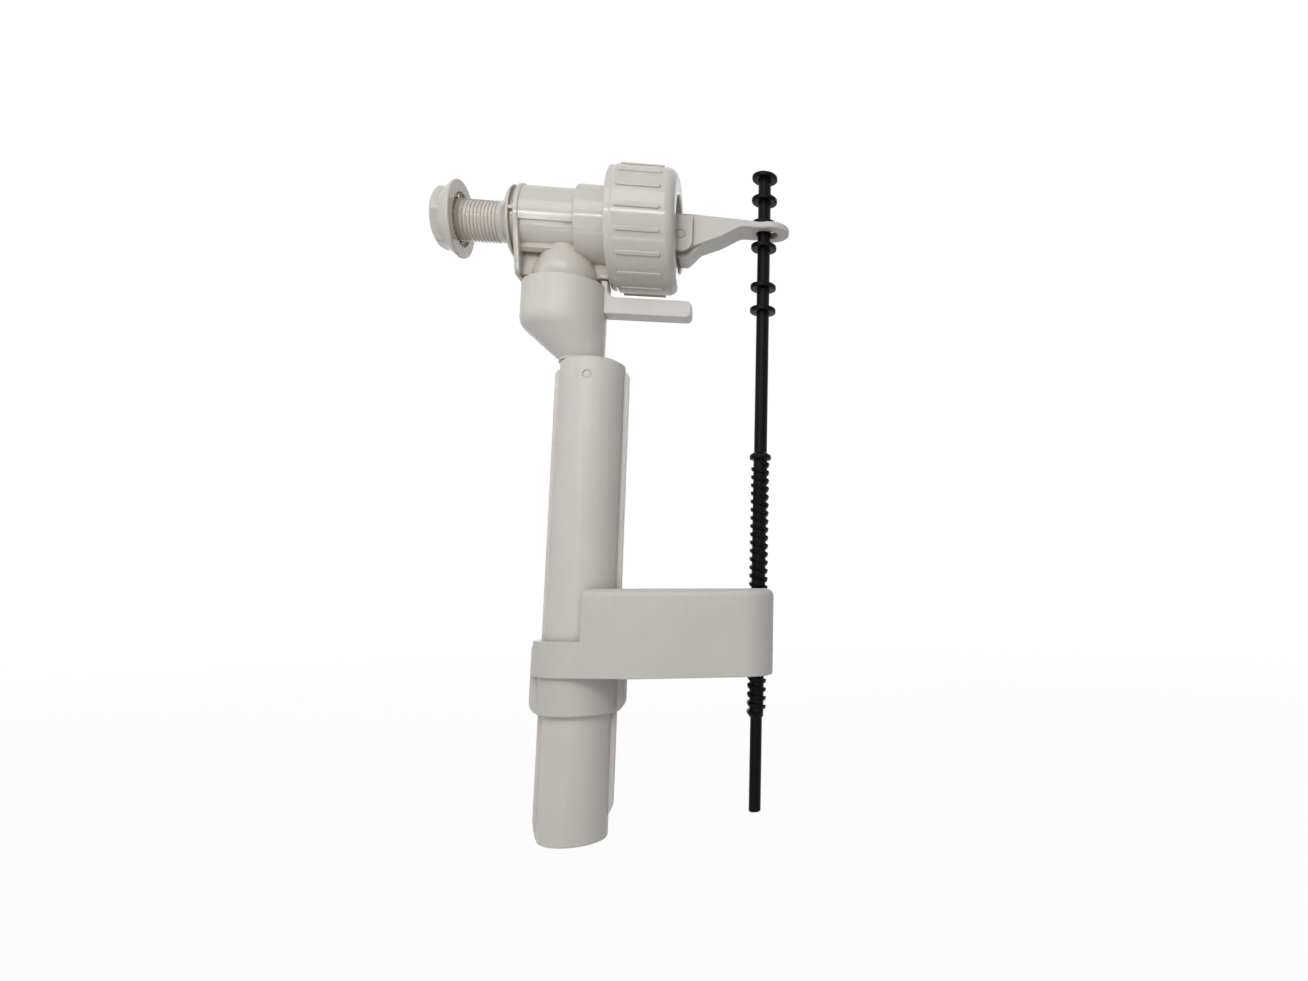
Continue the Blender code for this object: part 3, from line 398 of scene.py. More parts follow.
def darkPolymer(name):
    color, rough, bumpDepth, grainSize = darks[name]
    material = bpy.data.materials.new(name)
    material.use_nodes = True
    graph = Graph(material.node_tree)
    shader = material.node_tree.nodes["Principled BSDF"]
    point = graph.add("ShaderNodeTexCoord", out="Object")
    drawn = graph.add("ShaderNodeMapping", {}, {"Vector": point, "Scale": (1, 1, 0.06)})
    flow = graph.noise(drawn, 700.0, 3.0, 0.6)
    cloud = graph.noise(point, 90.0, 3.0)
    grain = graph.noise(point, grainSize, 3.0, 0.6)
    dust = graph.noise(point, 2600.0, 1.0).spread(0.68, 0.78)
    dull = tuple(c * 1.9 for c in color) + (1.0,)
    tone = graph.blend((flow - 0.5).spread(-0.12, 0.16), (*color, 1.0), dull)
    graph.feed(shader.inputs["Base Color"], graph.blend(dust * 0.15, tone, (0.02, 0.02, 0.02, 1.0)))
    graph.feed(shader.inputs["Roughness"], rough + (flow - 0.5) * 0.22 + (cloud - 0.5) * 0.18)
    bump = graph.add("ShaderNodeBump", {}, {"Strength": bumpDepth, "Distance": 0.1 * mm,
                                            "Height": grain * 0.6 + flow * 0.4})
    graph.feed(shader.inputs["Normal"], bump)
    shader.inputs["IOR"].default_value = 1.5
    shader.inputs["Specular IOR Level"].default_value = 0.08
    return material


def steelWire(name):
    material = bpy.data.materials.new(name)
    material.use_nodes = True
    graph = Graph(material.node_tree)
    shader = material.node_tree.nodes["Principled BSDF"]
    point = graph.add("ShaderNodeTexCoord", out="Object")
    drawn = graph.add("ShaderNodeMapping", {}, {"Vector": point, "Scale": (0.05, 1, 1)})
    scratch = graph.noise(drawn, 2400.0, 3.0, 0.7)
    cloud = graph.noise(point, 240.0, 2.0)
    tone = graph.blend(cloud.spread(0.3, 0.7), (0.52, 0.53, 0.54, 1.0), (0.66, 0.66, 0.67, 1.0))
    graph.feed(shader.inputs["Base Color"], tone)
    graph.feed(shader.inputs["Roughness"], 0.26 + scratch * 0.18)
    bump = graph.add("ShaderNodeBump", {}, {"Strength": 0.15, "Distance": 0.05 * mm, "Height": scratch})
    graph.feed(shader.inputs["Normal"], bump)
    shader.inputs["Metallic"].default_value = 1.0
    return material


glossyWhite = plastic("glossy white")
tailWhite = plastic("tail white")
satinWhite = plastic("satin white")
floatWhite = plastic("float white")
leverWhite = plastic("lever white")
greyInsert = plastic("grey insert")
greenInsert = plastic("green insert")
rodBlack = darkPolymer("rod black")
rubberBlack = darkPolymer("rubber black")
steel = steelWire("stainless steel")
print("materials ready")


# valve body: tail, flange, ribbed middle, neck, chamber and outlet boss
body = {
    "threadPitch": 1.337, "threadTurns": 18.1, "threadStart": -26.7, "threadDepth": 0.42, "rootRadius": 7.92,
    "ribRadius": 16.7, "ledgeAngle": -59.0, "ledgeThickness": 2.6, "panelRadius": 15.1, "panelStart": -17.0,
    "bossX": 22.4, "bossRadius": 13.0, "portHeight": -11.5, "portRadius": 2.5,
}


def bodyProfile():
    flange = [(15.7, 6.8, 0.7), (15.7, 4.8, 0.7), (12.9, 4.8, 0.4), (12.9, 3.0, 0.4), (15.0, 3.0, 0.4),
              (14.9, 2.2, 0.6), (13.3, 0.9, 0.9), (10.6, -0.1, 1.2), (9.1, -1.3, 0.9), (8.42, -2.7, 0.8)]
    tail = [(body["rootRadius"], -3.6, 0.8), (body["rootRadius"], -26.6, 0.2), (7.4, -27.0, 0.2)]
    inside = [(5.0, -27.0, 0.4), (5.0, -2.7, 0.2), (4.2, -2.7, 0.3), (4.2, 45.0, 0.5), (6.6, 45.0, 0.7),
              (6.6, 30.0, 0.8), (15.0, 30.0, 0.8), (15.0, 46.0, 0.4), (20.0, 46.0, 0.3), (20.0, 50.0, 0.3)]
    outside = [(23.2, 50.0, 0.4), (23.2, 41.5, 0.9), (17.1, 41.5, 0.8), (17.1, 27.2, 0.7), (14.0, 27.2, 0.9),
               (14.0, 6.8, 0.6)]
    return outside + flange + tail + inside


def buildBody():
    shell = spin(bodyProfile(), "X", segments=112)
    start, thick = body["panelStart"], body["ledgeThickness"]
    panelPoints = circle((0, 0), body["panelRadius"], 64, start, 180 - 2 * start)
    panelPoints += circle((0, 0), 12.6, 64, 180 - start, 2 * start - 180)
    panel = slab([tuple(p) for p in panelPoints], 6.1, 27.8, "YZ", 0.2)
    ledges = []
    for turn in (180 - body["ledgeAngle"], body["ledgeAngle"]):
        ledge = brick((6.1, 12.4, -thick / 2), (27.8, body["ribRadius"], thick / 2), 0.25)
        ledges.append(rolled(ledge, turn))
    tongue = slab([(-14.6, -5.0, 2), (-8.0, -24.4, 2.2), (8.0, -24.4, 2.2), (14.6, -5.0, 2), (9, 0), (-9, 0)],
                  4.8, 6.8, "YZ", 0.4)
    lug = brick((36.1, -4.0, -22.8), (42.4, 4.0, -20.7), 0.5)
    bossPlace = (body["bossX"], 0, 0)
    boss = spin([(0, -4.5), (6.6, -4.5), (9.2, -11.0, 2.0), (11.6, -17.0, 3.0),
                 (body["bossRadius"], -20.8, 2.0), (body["bossRadius"], -40.6, 0.6), (0, -40.6)],
                place=bossPlace)
    fillers = [brick((6.1, -5.0, -23.4), (13.0, 5.0, -11.0), 0.5),
               brick((33.0, -3.0, -22.8), (41.6, 3.0, -15.0), 0.5)]
    webs = []
    for turn in (0, 90):
        web = brick((2.4, -14.7, -0.7), (5.4, 14.7, 0.7), 0.15)
        core = spin([(0, 0.0), (11.9, 0.0), (11.9, 6.0), (0, 6.0)], "X", segments=48)
        webs.append(rolled(carve(web, core), turn))
    fuse(shell, panel, *ledges, tongue, lug, boss, *fillers, *webs)
    bore = spin([(0, -8.0), (6.0, -8.0, 0.5), (6.0, -11.5), (10.2, -19.5, 1.0), (10.2, -43.0), (0, -43.0)],
                place=bossPlace, segments=88)
    port = spin([(0, 22.0), (body["portRadius"], 22.0), (body["portRadius"], 31.0), (0, 31.0)], "X",
                place=(0, 0, body["portHeight"]), segments=48)
    groove = spin([(14.5, -33.25), (14.5, -34.75), (11.8, -34.75), (11.8, -33.25)], place=bossPlace)
    carve(shell, bore, groove, port)
    return shell


def buildTailThread():
    sizes = {"Turns": body["threadTurns"], "Pitch": body["threadPitch"] * mm,
             "Root radius": (body["rootRadius"] - 0.1) * mm, "Depth": (body["threadDepth"] + 0.08) * mm,
             "Crest round": 0.12 * mm, "Steps per turn": 56, "Fade share": 0.06}
    section = ((0.0, -0.46), (1.0, -0.12), (1.0, 0.12), (0.0, 0.46))
    ridge = threadRidge("tail thread", sizes, section, tailWhite)
    place = Matrix.Translation((body["threadStart"] * mm, 0, 0))
    ridge.data.transform(place @ Matrix.Rotation(math.pi / 2, 4, "Y"))
    return ridge


bodyShell = buildBody()
finishPiece(bodyShell, "bodyShell", "valve", ["valve_body"], glossyWhite)
tailThread = buildTailThread()
finishPiece(tailThread, "tailThread", "valve", [], tailWhite)
print("body done")


# backnut: hexagon with a domed end, coned flange and a toothed recess in its clamping face
backnut = {
    "face": -18.4, "rim": -19.3, "cone": -24.5, "end": -27.3, "flangeRadius": 15.4, "coneRadius": 11.0,
    "hexRadius": 12.75, "turn": 6.0, "bore": 8.63, "recessRadius": 10.7, "recessDepth": 0.7, "teeth": 24,
}


def buildBacknut():
    size = backnut
    corners = [(*point, 0.9) for point in circle((0, 0), size["hexRadius"], 6, size["turn"])]
    hexagon = slab(corners, size["end"] - 1.5, size["rim"] + 0.6, "YZ")
    dome = spin([(0, size["rim"] + 1), (15, size["rim"] + 1), (15, -23.2), (12.6, -25.3, 1.9),
                 (10.4, size["end"] + 0.3, 1.3), (9.6, size["end"], 0.3), (0, size["end"])], "X")
    keepWithin(hexagon, dome)
    flange = spin([(0, size["face"]), (size["flangeRadius"], size["face"], 0.6),
                   (size["flangeRadius"], size["rim"], 1.2), (size["coneRadius"], size["cone"], 0.6),
                   (0, size["cone"])], "X")
    floor = size["face"] - size["recessDepth"]
    bore = spin([(0, 0), (size["recessRadius"], 0), (size["recessRadius"], floor, 0.3), (9.3, floor, 0.3),
                 (size["bore"], floor - 0.7), (size["bore"], size["end"] + 0.4), (9.4, size["end"] - 0.4),
                 (0, size["end"] - 0.4)], "X")
    return carve(fuse(flange, hexagon), bore)


def buildBacknutTeeth():
    size = backnut
    floor = size["face"] - size["recessDepth"]
    tooth = brick((floor - 0.3, 9.4, -0.35), (size["face"] - 0.2, 11.0, 0.35), 0.12)
    return ringOf("backnut teeth", {"Count": size["teeth"], "Start": 0.5}, tooth, tailWhite)


finishPiece(buildBacknut(), "backnutBody", "clamp_nut", ["backnut"], glossyWhite)
finishPiece(buildBacknutTeeth(), "backnutTeeth", "clamp_nut", [], tailWhite)
print("backnut done")


# cap nut: smooth rim behind, rounded grip ribs, big shoulder in front
capNut = {
    "back": 40.0, "front": 66.6, "lip": 62.5, "radius": 25.9, "bore": 23.5, "holeRadius": 16.0,
    "rimRadius": 25.35, "rimEnd": 42.5, "shoulder": 4.2,
    "grips": 18, "gripPhase": 0.14, "gripStart": 44.2, "gripEnd": 61.4, "gripHalfWidth": 0.95,
    "gripHeight": 0.61, "gripEdge": 0.55,
}


def buildCapNut():
    size = capNut
    return spin([(size["bore"], size["back"], 0.3), (size["rimRadius"], size["back"], 1.0),
                 (size["rimRadius"], size["rimEnd"], 0.25), (size["radius"], size["rimEnd"] + 0.5, 0.35),
                 (size["radius"], size["front"], size["shoulder"]), (size["holeRadius"], size["front"], 0.8),
                 (size["holeRadius"], size["lip"], 0.4), (size["bore"], size["lip"], 0.3)], "X", segments=160)


def buildGrips():
    size = capNut
    half = size["gripHalfWidth"]
    outline = [(size["gripStart"], -half, half), (size["gripEnd"], -half, half),
               (size["gripEnd"], half, half), (size["gripStart"], half, half)]
    rib = slab(outline, size["radius"] - 1.0, size["radius"] + size["gripHeight"], "XZ", size["gripEdge"],
               rounds=4)
    return ringOf("grip ribs", {"Count": size["grips"], "Start": size["gripPhase"]}, rib, glossyWhite)


finishPiece(buildCapNut(), "capNutBody", "cover_nut", ["cap_nut"], glossyWhite)
finishPiece(buildGrips(), "capNutGrips", "cover_nut", [], glossyWhite)
print("cap nut done")


# bonnet inside the cap nut, with the pilot nozzle and the ears that hold the lever's pin
bonnet = {
    "back": 49.1, "seat": 50.3, "cavity": 53.5, "face": 57.0, "front": 62.2, "radius": 22.9, "spigot": 19.7,
    "cavityRadius": 14.5, "rimInner": 18.9, "earRoot": 55.2, "earInner": 6.9, "earOuter": 8.5,
    "earFront": 72.6, "earTop": 4.8, "earBottom": -10.7, "earCorner": 4.5, "pivot": (67.8, 0, -3.5),
    "pinRadius": 1.98, "pinHole": 2.04, "nozzleHeight": 3.5, "nozzleTip": 60.9,
}


def buildBonnet():
    size = bonnet
    cover = spin([(0, size["cavity"]), (size["cavityRadius"], size["cavity"], 0.5),
                  (size["cavityRadius"], size["back"], 0.3), (size["spigot"], size["back"], 0.3),
                  (size["spigot"], size["seat"], 0.2), (size["radius"], size["seat"], 0.3),
                  (size["radius"], size["front"], 0.4), (size["rimInner"], size["front"], 0.5),
                  (size["rimInner"], size["face"], 1.0), (0, size["face"])], "X")
    ears = []
    for low, high in ((-size["earOuter"], -size["earInner"]), (size["earInner"], size["earOuter"])):
        outline = [(size["earRoot"], size["earBottom"]),
                   (size["earFront"], size["earBottom"], size["earCorner"]),
                   (size["earFront"], size["earTop"], 0.8), (size["earRoot"], size["earTop"])]
        ears.append(slab(outline, low, high, "XZ", 0.4))
    nozzlePlace = (0, 0, size["nozzleHeight"])
    nozzle = spin([(0, 55.2), (2.9, 55.2), (2.9, 57.6, 0.5), (2.0, 58.6, 0.4), (2.0, size["nozzleTip"], 0.45),
                   (0, size["nozzleTip"])], "X", nozzlePlace, 40)
    fuse(cover, *ears, nozzle)
    drill = spin([(0, 52), (0.8, 52), (0.8, 60.6), (1.2, 61.2), (0, 61.2)], "X", nozzlePlace, 24)
    hole = spin([(0, -12), (size["pinHole"], -12), (size["pinHole"], 12), (0, 12)], "Y", size["pivot"], 48)
    return carve(cover, drill, hole)


def buildLeverPin():
    size = bonnet
    reach = size["earOuter"] + 0.1
    ends = [(0, -reach), (size["pinRadius"], -reach, 0.5), (size["pinRadius"], reach, 0.5), (0, reach)]
    return spin(ends, "Y", size["pivot"], 48)


finishPiece(buildBonnet(), "bonnetCover", "valve", ["bonnet"], glossyWhite)
finishPiece(buildLeverPin(), "leverPinRod", "valve", ["lever_pin"], leverWhite)
print("bonnet done")


# lever: a wedge from the pilot seal to the eye that the rod hangs in
lever = {
    "back": 62.6, "top": 6.3, "belly": -8.4, "foot": -12.9, "footHalf": 4.7, "halfWidth": 6.5, "edge": 0.55,
    "eyeX": 104.6, "eyeRadius": 7.6, "eyeLow": 2.3, "eyeHigh": 5.3, "eyeEdge": 0.9,
    "slotBack": 98.5, "slotFront": 107.2, "slotHalf": 3.4, "sealRadius": 2.9, "sealDepth": 1.6, "bore": 2.1,
}


def stadium(back, front, radius, height, count=24):
    points = [(front - radius + p.x, p.y, height) for p in circle((0, 0), radius, count, -90, 180)]
    return points + [(back + radius + p.x, p.y, height) for p in circle((0, 0), radius, count, 90, 180)]


def buildLever():
    size = lever
    side = [(size["back"], -6.9, 1.0), (size["back"], size["top"], 0.8), (72.6, size["top"]),
            (98.0, size["eyeHigh"] - 0.05), (98.0, size["eyeLow"] + 0.05), (92.0, size["eyeLow"] + 0.05, 1.5),
            (83.5, -2.9), (75.7, -6.3, 2.0), (70.5, size["belly"], 1.2), (65.0, size["belly"], 1.2)]
    arm = slab(side, -size["halfWidth"], size["halfWidth"], "XZ", size["edge"])
    under = [(66.3, -5.0), (76.4, -5.0), (76.0, -6.6, 1.0), (70.5, size["foot"], 1.2),
             (66.3, size["foot"], 1.2)]
    foot = slab(under, -size["footHalf"], size["footHalf"], "XZ", 0.4)
    lean = math.degrees(math.asin(size["halfWidth"] / size["eyeRadius"]))
    plan = circle((size["eyeX"], 0), size["eyeRadius"], 72, lean - 180, 360 - 2 * lean)
    plan = [tuple(p) for p in plan] + [(91.5, size["halfWidth"]), (91.5, -size["halfWidth"])]
    eye = slab(plan, size["eyeLow"], size["eyeHigh"], "XY", size["eyeEdge"], rounds=5)
    fuse(arm, eye, foot)
    rims = ((size["eyeLow"] - 0.6, 0.9), (size["eyeLow"] + 0.4, 0.0), (size["eyeHigh"] - 0.4, 0.0),
            (size["eyeHigh"] + 0.6, 0.9))
    back, front, half = size["slotBack"], size["slotFront"], size["slotHalf"]
    slot = loft([stadium(back - flare, front + flare, half + flare, height) for height, flare in rims])
    hole = spin([(0, -6.8), (size["bore"], -6.8), (size["bore"], 6.8), (0, 6.8)], "Y", bonnet["pivot"], 48)
    floor = size["back"] + size["sealDepth"]
    pocket = spin([(0, 60), (size["sealRadius"], 60), (size["sealRadius"], floor), (0, floor)], "X",
                  (0, 0, bonnet["nozzleHeight"]), 40)
    return carve(arm, slot, hole, pocket)


finishPiece(buildLever(), "leverArm", "lever_arm", ["lever"], leverWhite)
print("lever done")


# outlet adaptor: cup on the boss, reducer to one side, plug in the tube, and the arm under the cap nut
adaptor = {
    "cupX": 22.4, "cupRadius": 16.4, "cupTop": -25.9, "crease": -43.1, "creaseRound": 2.8, "cupBore": 13.3,
    "neckX": 30.0, "neckRadius": 8.7, "neckEnd": -57.5, "passageX": 31.6, "passageRadius": 6.2,
    "tubeX": 34.6, "plugRadius": 10.7, "plugEnd": -68.0, "pegHeight": -64.9, "pegRadius": 1.6,
    "pegReach": 12.3, "armHalfWidth": 4.0, "armTop": -30.2, "armLow": -37.4, "armEnd": 72.7,
    "armRoot": 36.8, "legTop": -23.6, "legX": 39.6, "armEdge": 0.7,
}


def levelRing(centre, radius, height, count=112):
    return [(p.x, p.y, height) for p in circle((centre, 0), radius, count)]


def buildAdaptor():
    size = adaptor
    left = size["cupX"] - size["cupRadius"]
    right = size["cupX"] + size["cupRadius"]
    neckLeft = size["neckX"] - size["neckRadius"]
    slope = [(left, size["cupTop"] - 0.6), (left, size["crease"], size["creaseRound"]),
             (neckLeft, size["neckEnd"] + 0.9, 0.9), (neckLeft, size["neckEnd"])]
    sections = [levelRing(size["cupX"], size["cupRadius"] - inset, size["cupTop"] - drop)
                for inset, drop in ((0.6, 0.0), (0.3, 0.08), (0.08, 0.3))]
    for x, height in softCorners(slope, closed=False):
        share = max(0.0, (size["crease"] - height) / (size["crease"] - size["neckEnd"]))
        far = right - share * (right - size["neckX"] - size["neckRadius"])
        sections.append(levelRing((x + far) / 2, (far - x) / 2, height))
    cup = loft(sections)
    plug = spin([(0, -56.8), (size["plugRadius"], -56.8, 0.7), (size["plugRadius"], size["plugEnd"], 0.6),
                 (0, size["plugEnd"])], place=(size["tubeX"], 0, 0))
    reach = size["pegReach"]
    pegs = spin([(0, -reach), (size["pegRadius"], -reach, 0.3), (size["pegRadius"], reach, 0.3), (0, reach)],
                "Y", (size["tubeX"], 0, size["pegHeight"]), 40)
    outline = [(size["armRoot"], size["legTop"]), (size["legX"], size["legTop"], 0.9),
               (size["legX"], size["armTop"], 3.4), (size["armEnd"], size["armTop"], 2.4),
               (size["armEnd"], size["armLow"], 2.4), (size["armRoot"], size["armLow"])]
    arm = slab(outline, -size["armHalfWidth"], size["armHalfWidth"], "XZ", size["armEdge"])
    fuse(cup, plug, pegs, arm)
    passage = loft([levelRing(size["passageX"], size["passageRadius"], -70.0, 72),
                    levelRing(size["passageX"], size["passageRadius"], -55.9, 72),
                    levelRing(size["cupX"], size["cupBore"], -40.9, 72),
                    levelRing(size["cupX"], size["cupBore"], -26.4, 72),
                    levelRing(size["cupX"], size["cupBore"] + 1.0, -25.4, 72)])
    return carve(cup, passage)


finishPiece(buildAdaptor(), "adaptorCup", "valve", ["outlet_adaptor"], satinWhite)
print("adaptor done")


# drop tube with its two guide rails
tube = {
    "x": 34.6, "radius": 12.5, "bore": 11.0, "top": -57.8, "bottom": -239.4, "topEdge": 1.1,
    "bottomEdge": 1.3, "railReach": 14.2, "railHalf": 1.5, "railTop": -60.8, "leftRail": -238.9,
    "rightRail": -231.0, "pegHole": 1.67, "pegHeight": -64.9,
}


def buildTube():
    size = tube
    pipe = spin([(size["bore"], size["top"], 0.5), (size["radius"], size["top"], size["topEdge"]),
                 (size["radius"], size["bottom"], size["bottomEdge"]), (size["bore"], size["bottom"], 0.4)],
                place=(size["x"], 0, 0), segments=144)
    rails = []
    for side, low, taper in ((-1, size["leftRail"], 5.4), (1, size["rightRail"], 3.0)):
        inner = size["radius"] - 1.1
        outline = [(inner, size["railTop"]), (13.3, size["railTop"], 0.4),
                   (size["railReach"], size["railTop"] - 1.4, 0.5), (size["railReach"], low + taper, 2.0),
                   (size["radius"] + 0.3, low), (inner, low)]
        outline = [(size["x"] + side * point[0], *point[1:]) for point in outline]
        rails.append(slab(outline, -size["railHalf"], size["railHalf"], "XZ", 0.3))
    hole = spin([(0, -20), (size["pegHole"], -20), (size["pegHole"], 20), (0, 20)], "Y",
                (size["x"], 0, size["pegHeight"]), 40)
    return carve(fuse(pipe, *rails), hole)


finishPiece(buildTube(), "dropPipe", "valve", ["drop_tube"], satinWhite)
print("drop tube done")


# adjusting rod: discs that carry the lever's eye, coarse thread, plain foot
rod = {
    "x": 101.6, "top": 28.7, "bottom": -232.7, "upperRadius": 2.65, "footRadius": 2.3, "discRadius": 5.39,
    "discs": (27.7, 17.5, 6.5, -3.6, -21.2, -31.4), "discHalf": 1.0, "discEdge": 0.6,
    "stopTop": -92.6, "stopEnd": -95.0, "stopRadius": 4.4, "threadEnd": -196.8, "threadPitch": 3.32,
    "threadRoot": 2.8, "threadCrest": 4.36, "threadTurns": 30.4,
}


def buildRod():
    size = rod
    profile = [(0, size["top"])]
    for number, height in enumerate(size["discs"]):
        if number:
            profile.append((size["upperRadius"], height + size["discHalf"], 0.35))
        profile.append((size["discRadius"], height + size["discHalf"], size["discEdge"]))
        profile.append((size["discRadius"], height - size["discHalf"], size["discEdge"]))
        profile.append((size["upperRadius"], height - size["discHalf"], 0.35))
    profile += [(size["upperRadius"], size["stopTop"] + 0.8, 0.4),
                (size["stopRadius"], size["stopTop"] - 0.5, 0.5), (size["stopRadius"], size["stopEnd"], 0.7),
                (size["threadRoot"], size["stopEnd"], 0.2), (size["threadRoot"], size["threadEnd"], 0.3),
                (size["footRadius"], size["threadEnd"] - 0.5, 0.2), (size["footRadius"], size["bottom"], 0.6),
                (0, size["bottom"])]
    return spin(profile, place=(size["x"], 0, 0), segments=48)


def buildRodThread():
    size = rod
    sizes = {"Turns": size["threadTurns"], "Pitch": size["threadPitch"] * mm,
             "Root radius": (size["threadRoot"] - 0.12) * mm,
             "Depth": (size["threadCrest"] - size["threadRoot"] + 0.12) * mm, "Crest round": 0.42 * mm,
             "Steps per turn": 40, "Fade share": 0.02}
    section = ((0.0, -0.37), (1.0, -0.22), (1.0, 0.22), (0.0, 0.37))
    ridge = threadRidge("rod thread", sizes, section, rodBlack)
    ridge.data.transform(Matrix.Translation((size["x"] * mm, 0, (size["threadEnd"] + 0.9) * mm)))
    return ridge


finishPiece(buildRod(), "rodStem", "rod", ["adjusting_rod"], rodBlack)
finishPiece(buildRodThread(), "rodThread", "rod", [], rodBlack)
print("rod done")


# float: upturned cup with a collar on the tube, a sleeve on the rod and a clip in its end
floatCup = {
    "top": -147.2, "bottom": -179.5, "step": -166.5, "left": 37.8, "shoulder": 55.0, "end": 107.36,
    "half": 24.0, "corner": 11.0, "round": 3.0, "hub": 17.0, "tubeX": 34.6, "rodX": 101.6, "wall": 1.6,
    "collarRadius": 15.0, "collarBore": 13.0, "collarEnd": -193.6, "lobeReach": 17.2, "lobeHalf": 3.6,
    "channelHalf": 2.0, "channelReach": 14.7, "rodBore": 4.66,
    "clipBack": 103.3, "clipHalf": 5.0, "clipTop": -155.2, "clipLow": -171.0, "clipGap": 0.15,
}


def floatPlan(inset, height):
    size = floatCup
    hub, half = size["hub"] - inset, size["half"] - inset
    end, corner = size["end"] - inset, size["corner"] - inset
    away = Vector((size["shoulder"] - size["tubeX"], half))
    touch = math.degrees(math.atan2(away.y, away.x) + math.acos(hub / away.length))
    points = circle((end - corner, corner - half), corner, 16, -90, 90)
    points += circle((end - corner, half - corner), corner, 16, 0, 90)
    points += [Vector((size["shoulder"], half))]
    points += circle((size["tubeX"], 0), hub, 40, touch, 360 - 2 * touch)
    points += [Vector((size["shoulder"], -half))]
    return [(p.x, p.y, height) for p in points]


def buildFloat():
    size = floatCup
    top, bottom, wall = size["top"], size["bottom"], size["wall"]
    insets = [(0.5, bottom), (0.15, bottom + 0.15), (0.0, bottom + 0.5)]
    for step in range(11):
        angle = math.radians(9 * step)
        insets.append((size["round"] * (1 - math.cos(angle)), top - size["round"] * (1 - math.sin(angle))))
    shell = loft([floatPlan(inset, height) for inset, height in insets])
    left, radius = size["left"], size["round"]
    notch = [(10, size["step"]), (left, size["step"], 0.8)]
    notch += [(left + radius + p.x, top - radius + p.y) for p in circle((0, 0), radius, 10, 180, -90)]
    notch += [(left + radius, top + 8), (10, top + 8)]
    carve(shell, slab(notch, -30, 30, "XZ"))
    onTube, onRod = (size["tubeX"], 0, 0), (size["rodX"], 0, 0)
    collar = spin([(0, bottom + 2), (size["collarRadius"], bottom + 2),
                   (size["collarRadius"], size["collarEnd"], 0.8), (0, size["collarEnd"])],
                  place=onTube, segments=120)
    lobes = []
    for side in (-1, 1):
        outline = [(13.8, size["step"] - 0.1), (15.6, size["step"] - 0.1, 0.8),
                   (size["lobeReach"], size["step"] - 2.3, 1.2),
                   (size["lobeReach"], size["collarEnd"] + 3.0, 1.4),
                   (15.3, size["collarEnd"] + 0.25, 0.6), (13.8, size["collarEnd"] + 0.25)]
        outline = [(size["tubeX"] + side * point[0], *point[1:]) for point in outline]
        lobes.append(slab(outline, -size["lobeHalf"], size["lobeHalf"], "XZ", 0.7))
    fuse(shell, collar, *lobes)

    room = loft([floatPlan(wall + 0.4, bottom - 1.5), floatPlan(wall, bottom + 0.4),
                 floatPlan(wall, top - wall - 1.6), floatPlan(wall + 0.5, top - wall - 0.5),
                 floatPlan(wall + 1.6, top - wall)])
    guideRadius = size["collarRadius"] + 0.3
    guide = spin([(0, bottom - 9), (guideRadius, bottom - 9), (guideRadius, top + 1), (0, top + 1)],
                 place=onTube, segments=120)
    lobeRoom = brick((size["tubeX"] - 17.5, -3.9, bottom - 5), (size["tubeX"] + 17.5, 3.9, top + 3))
    sleeveRadius = size["rodBore"] + wall
    sleeve = spin([(0, bottom - 7), (sleeveRadius, bottom - 7), (sleeveRadius, top + 2), (0, top + 2)],
                  place=onRod, segments=64)
    leftWall = brick((10, -32, size["step"] - wall), (left + wall, 32, top + 4))
    carve(room, guide, lobeRoom, sleeve, leftWall)
    bore = spin([(0, size["collarEnd"] - 2), (size["collarBore"], size["collarEnd"] - 2),
                 (size["collarBore"], top + 6), (0, top + 6)], place=onTube, segments=120)
    channel = brick((size["tubeX"] - size["channelReach"], -size["channelHalf"], size["collarEnd"] - 3),
                    (size["tubeX"] + size["channelReach"], size["channelHalf"], top + 7))
    fuse(bore, channel)
    rodHole = spin([(0, bottom - 3), (size["rodBore"], bottom - 3), (size["rodBore"], top + 5), (0, top + 5)],
                   place=onRod, segments=64)
    gap = size["clipGap"]
    window = brick((size["clipBack"] - 0.3, -size["clipHalf"] - gap, size["clipLow"] - gap),
                   (size["end"] + 4, size["clipHalf"] + gap, size["clipTop"] + gap))
    return carve(shell, room, rodHole, window, bore)


def buildClip():
    size = floatCup
    block = brick((size["clipBack"], -size["clipHalf"], size["clipLow"]),
                  (size["end"], size["clipHalf"], size["clipTop"]), 0.3)
    hole = spin([(0, -200), (size["rodBore"], -200), (size["rodBore"], -140), (0, -140)],
                place=(size["rodX"], 0, 0), segments=64)
    return carve(block, hole)


finishPiece(buildFloat(), "floatShell", "float", ["float_shell"], floatWhite)
finishPiece(buildClip(), "floatClip", "float", ["rod_clip"], floatWhite)
print("float done")


# the small parts inside keep their CAD shapes and take detailed materials
inside = {
    "diaphragm": rubberBlack, "pilot_seal": rubberBlack, "adaptor_ring": rubberBlack,
    "restrictor_ring": rubberBlack, "diaphragm_insert": greyInsert, "filter_frame": greyInsert,
    "flow_restrictor": greenInsert, "filter_mesh": steel, "bleed_pin": steel,
}
for nodeName, material in inside.items():
    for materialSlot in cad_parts[nodeName].material_slots:
        materialSlot.material = material
print("inside parts painted")


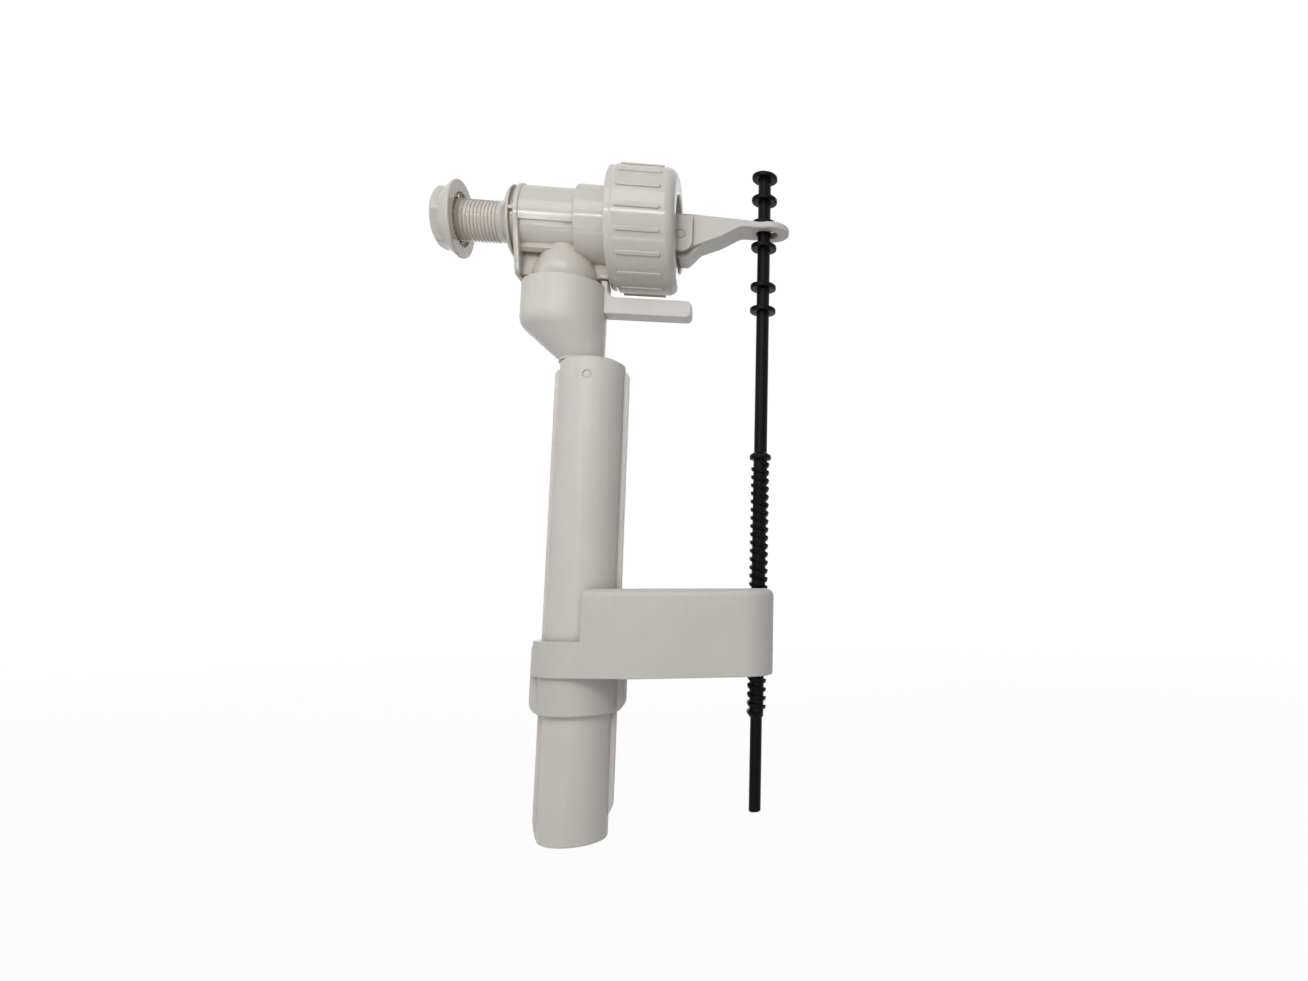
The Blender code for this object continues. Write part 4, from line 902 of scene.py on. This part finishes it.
# pale floor, white surroundings and soft studio light
studio = {
    "floorHeight": -262.0, "floorReach": 6000.0, "floorWhite": 0.60, "floorGlow": 0.96, "skyLevel": 0.33,
    "lights": {
        # place, aim, width and height in mm, power in watts
        "strip": ((10, -380, 60), (45, 0, -30), 440, 24, 0.42),
        "low strip": ((60, -300, -225), (52, 0, 0), 260, 12, 0.06),
        "tall strip": ((-90, -430, -60), (30, 0, -80), 22, 320, 0.20),
        "high front": ((-90, -560, 400), (45, 0, -100), 500, 340, 1.30),
        "side fill": ((-560, -160, 160), (40, 0, -90), 400, 400, 0.40),
        "rear fill": ((-60, 760, 90), (40, 0, -100), 600, 400, 1.60),
    },
}


def whiteForCamera(graph, shader, share):
    # what the camera and clean reflections see is white, and some of the floor's own shade stays
    path = graph.tree.nodes.new("ShaderNodeLightPath")
    seen = Wire(graph, path.outputs["Is Camera Ray"])
    for name in ("Is Glossy Ray", "Is Transmission Ray"):
        seen = seen.math("MAXIMUM", seen, Wire(graph, path.outputs[name]))
    glow = graph.add("ShaderNodeEmission", {}, {"Color": (1, 1, 1, 1), "Strength": 1.0})
    return graph.add("ShaderNodeMixShader", {}, [seen * share, shader, glow])


def buildFloor():
    reach = studio["floorReach"]
    floor = slab([(-reach, -reach), (reach, -reach), (reach, reach), (-reach, reach)],
                 studio["floorHeight"] - 5, studio["floorHeight"])
    floor.name = "studioFloor"
    material = bpy.data.materials.new("floor paint")
    material.use_nodes = True
    graph = Graph(material.node_tree)
    shader = material.node_tree.nodes["Principled BSDF"]
    shader.inputs["Base Color"].default_value = (studio["floorWhite"],) * 3 + (1.0,)
    shader.inputs["Roughness"].default_value = 0.9
    shader.inputs["Specular IOR Level"].default_value = 0.1
    leave = material.node_tree.nodes["Material Output"]
    point = graph.add("ShaderNodeTexCoord", out="Object")
    away = graph.add("ShaderNodeVectorMath", {"operation": "LENGTH"}, [point], out="Value")
    share = away.spread(0.35, 1.60, studio["floorGlow"], 1.0)   # the far floor fades into the background
    mixed = whiteForCamera(graph, Wire(graph, shader.outputs[0]), share)
    graph.feed(leave.inputs["Surface"], mixed)
    floor.data.materials.append(material)


def buildWorld():
    world = bpy.data.worlds.new("white surroundings")
    bpy.context.scene.world = world
    world.use_nodes = True
    graph = Graph(world.node_tree)
    dome = world.node_tree.nodes["Background"]
    dome.inputs["Color"].default_value = (1, 1, 1, 1)
    dome.inputs["Strength"].default_value = studio["skyLevel"]
    mixed = whiteForCamera(graph, Wire(graph, dome.outputs[0]), 1.0)
    graph.feed(world.node_tree.nodes["World Output"].inputs["Surface"], mixed)


def addLights():
    for name, (place, aim, width, height, power) in studio["lights"].items():
        lamp = bpy.data.lights.new(name, "AREA")
        lamp.shape = "RECTANGLE"
        lamp.size = width * mm
        lamp.size_y = height * mm
        lamp.energy = power
        holder = bpy.data.objects.new(name, lamp)
        bpy.context.scene.collection.objects.link(holder)
        holder.location = Vector(place) * mm
        holder.rotation_euler = (Vector(aim) - Vector(place)).to_track_quat("-Z", "Y").to_euler()


# the camera was fitted to the photograph: place, directions and lens, for a picture 1308 by 981
view = {
    "place": (97.5, -320.76, -149.43), "right": (0.98739207, -0.15826626, -0.00294903),
    "up": (-0.01777081, -0.12934245, 0.99144073), "ahead": (0.15729305, 0.97888831, 0.13052423),
    "lens": 21.607, "sensor": 36.0, "sideShift": -0.1687,
}


def addCamera():
    camera = bpy.data.cameras.new("photo view")
    camera.sensor_width = view["sensor"]
    camera.lens = view["lens"]
    camera.shift_x = view["sideShift"]
    camera.clip_start = 0.01
    camera.clip_end = 50
    holder = bpy.data.objects.new("photo view", camera)
    bpy.context.scene.collection.objects.link(holder)
    columns = Matrix((view["right"], view["up"], [-share for share in view["ahead"]])).transposed()
    holder.matrix_world = Matrix.Translation(Vector(view["place"]) * mm) @ columns.to_4x4()
    bpy.context.scene.camera = holder


buildFloor()
buildWorld()
addLights()
addCamera()
bpy.context.scene.view_settings.view_transform = "Standard"
print("stage, lights and camera ready")
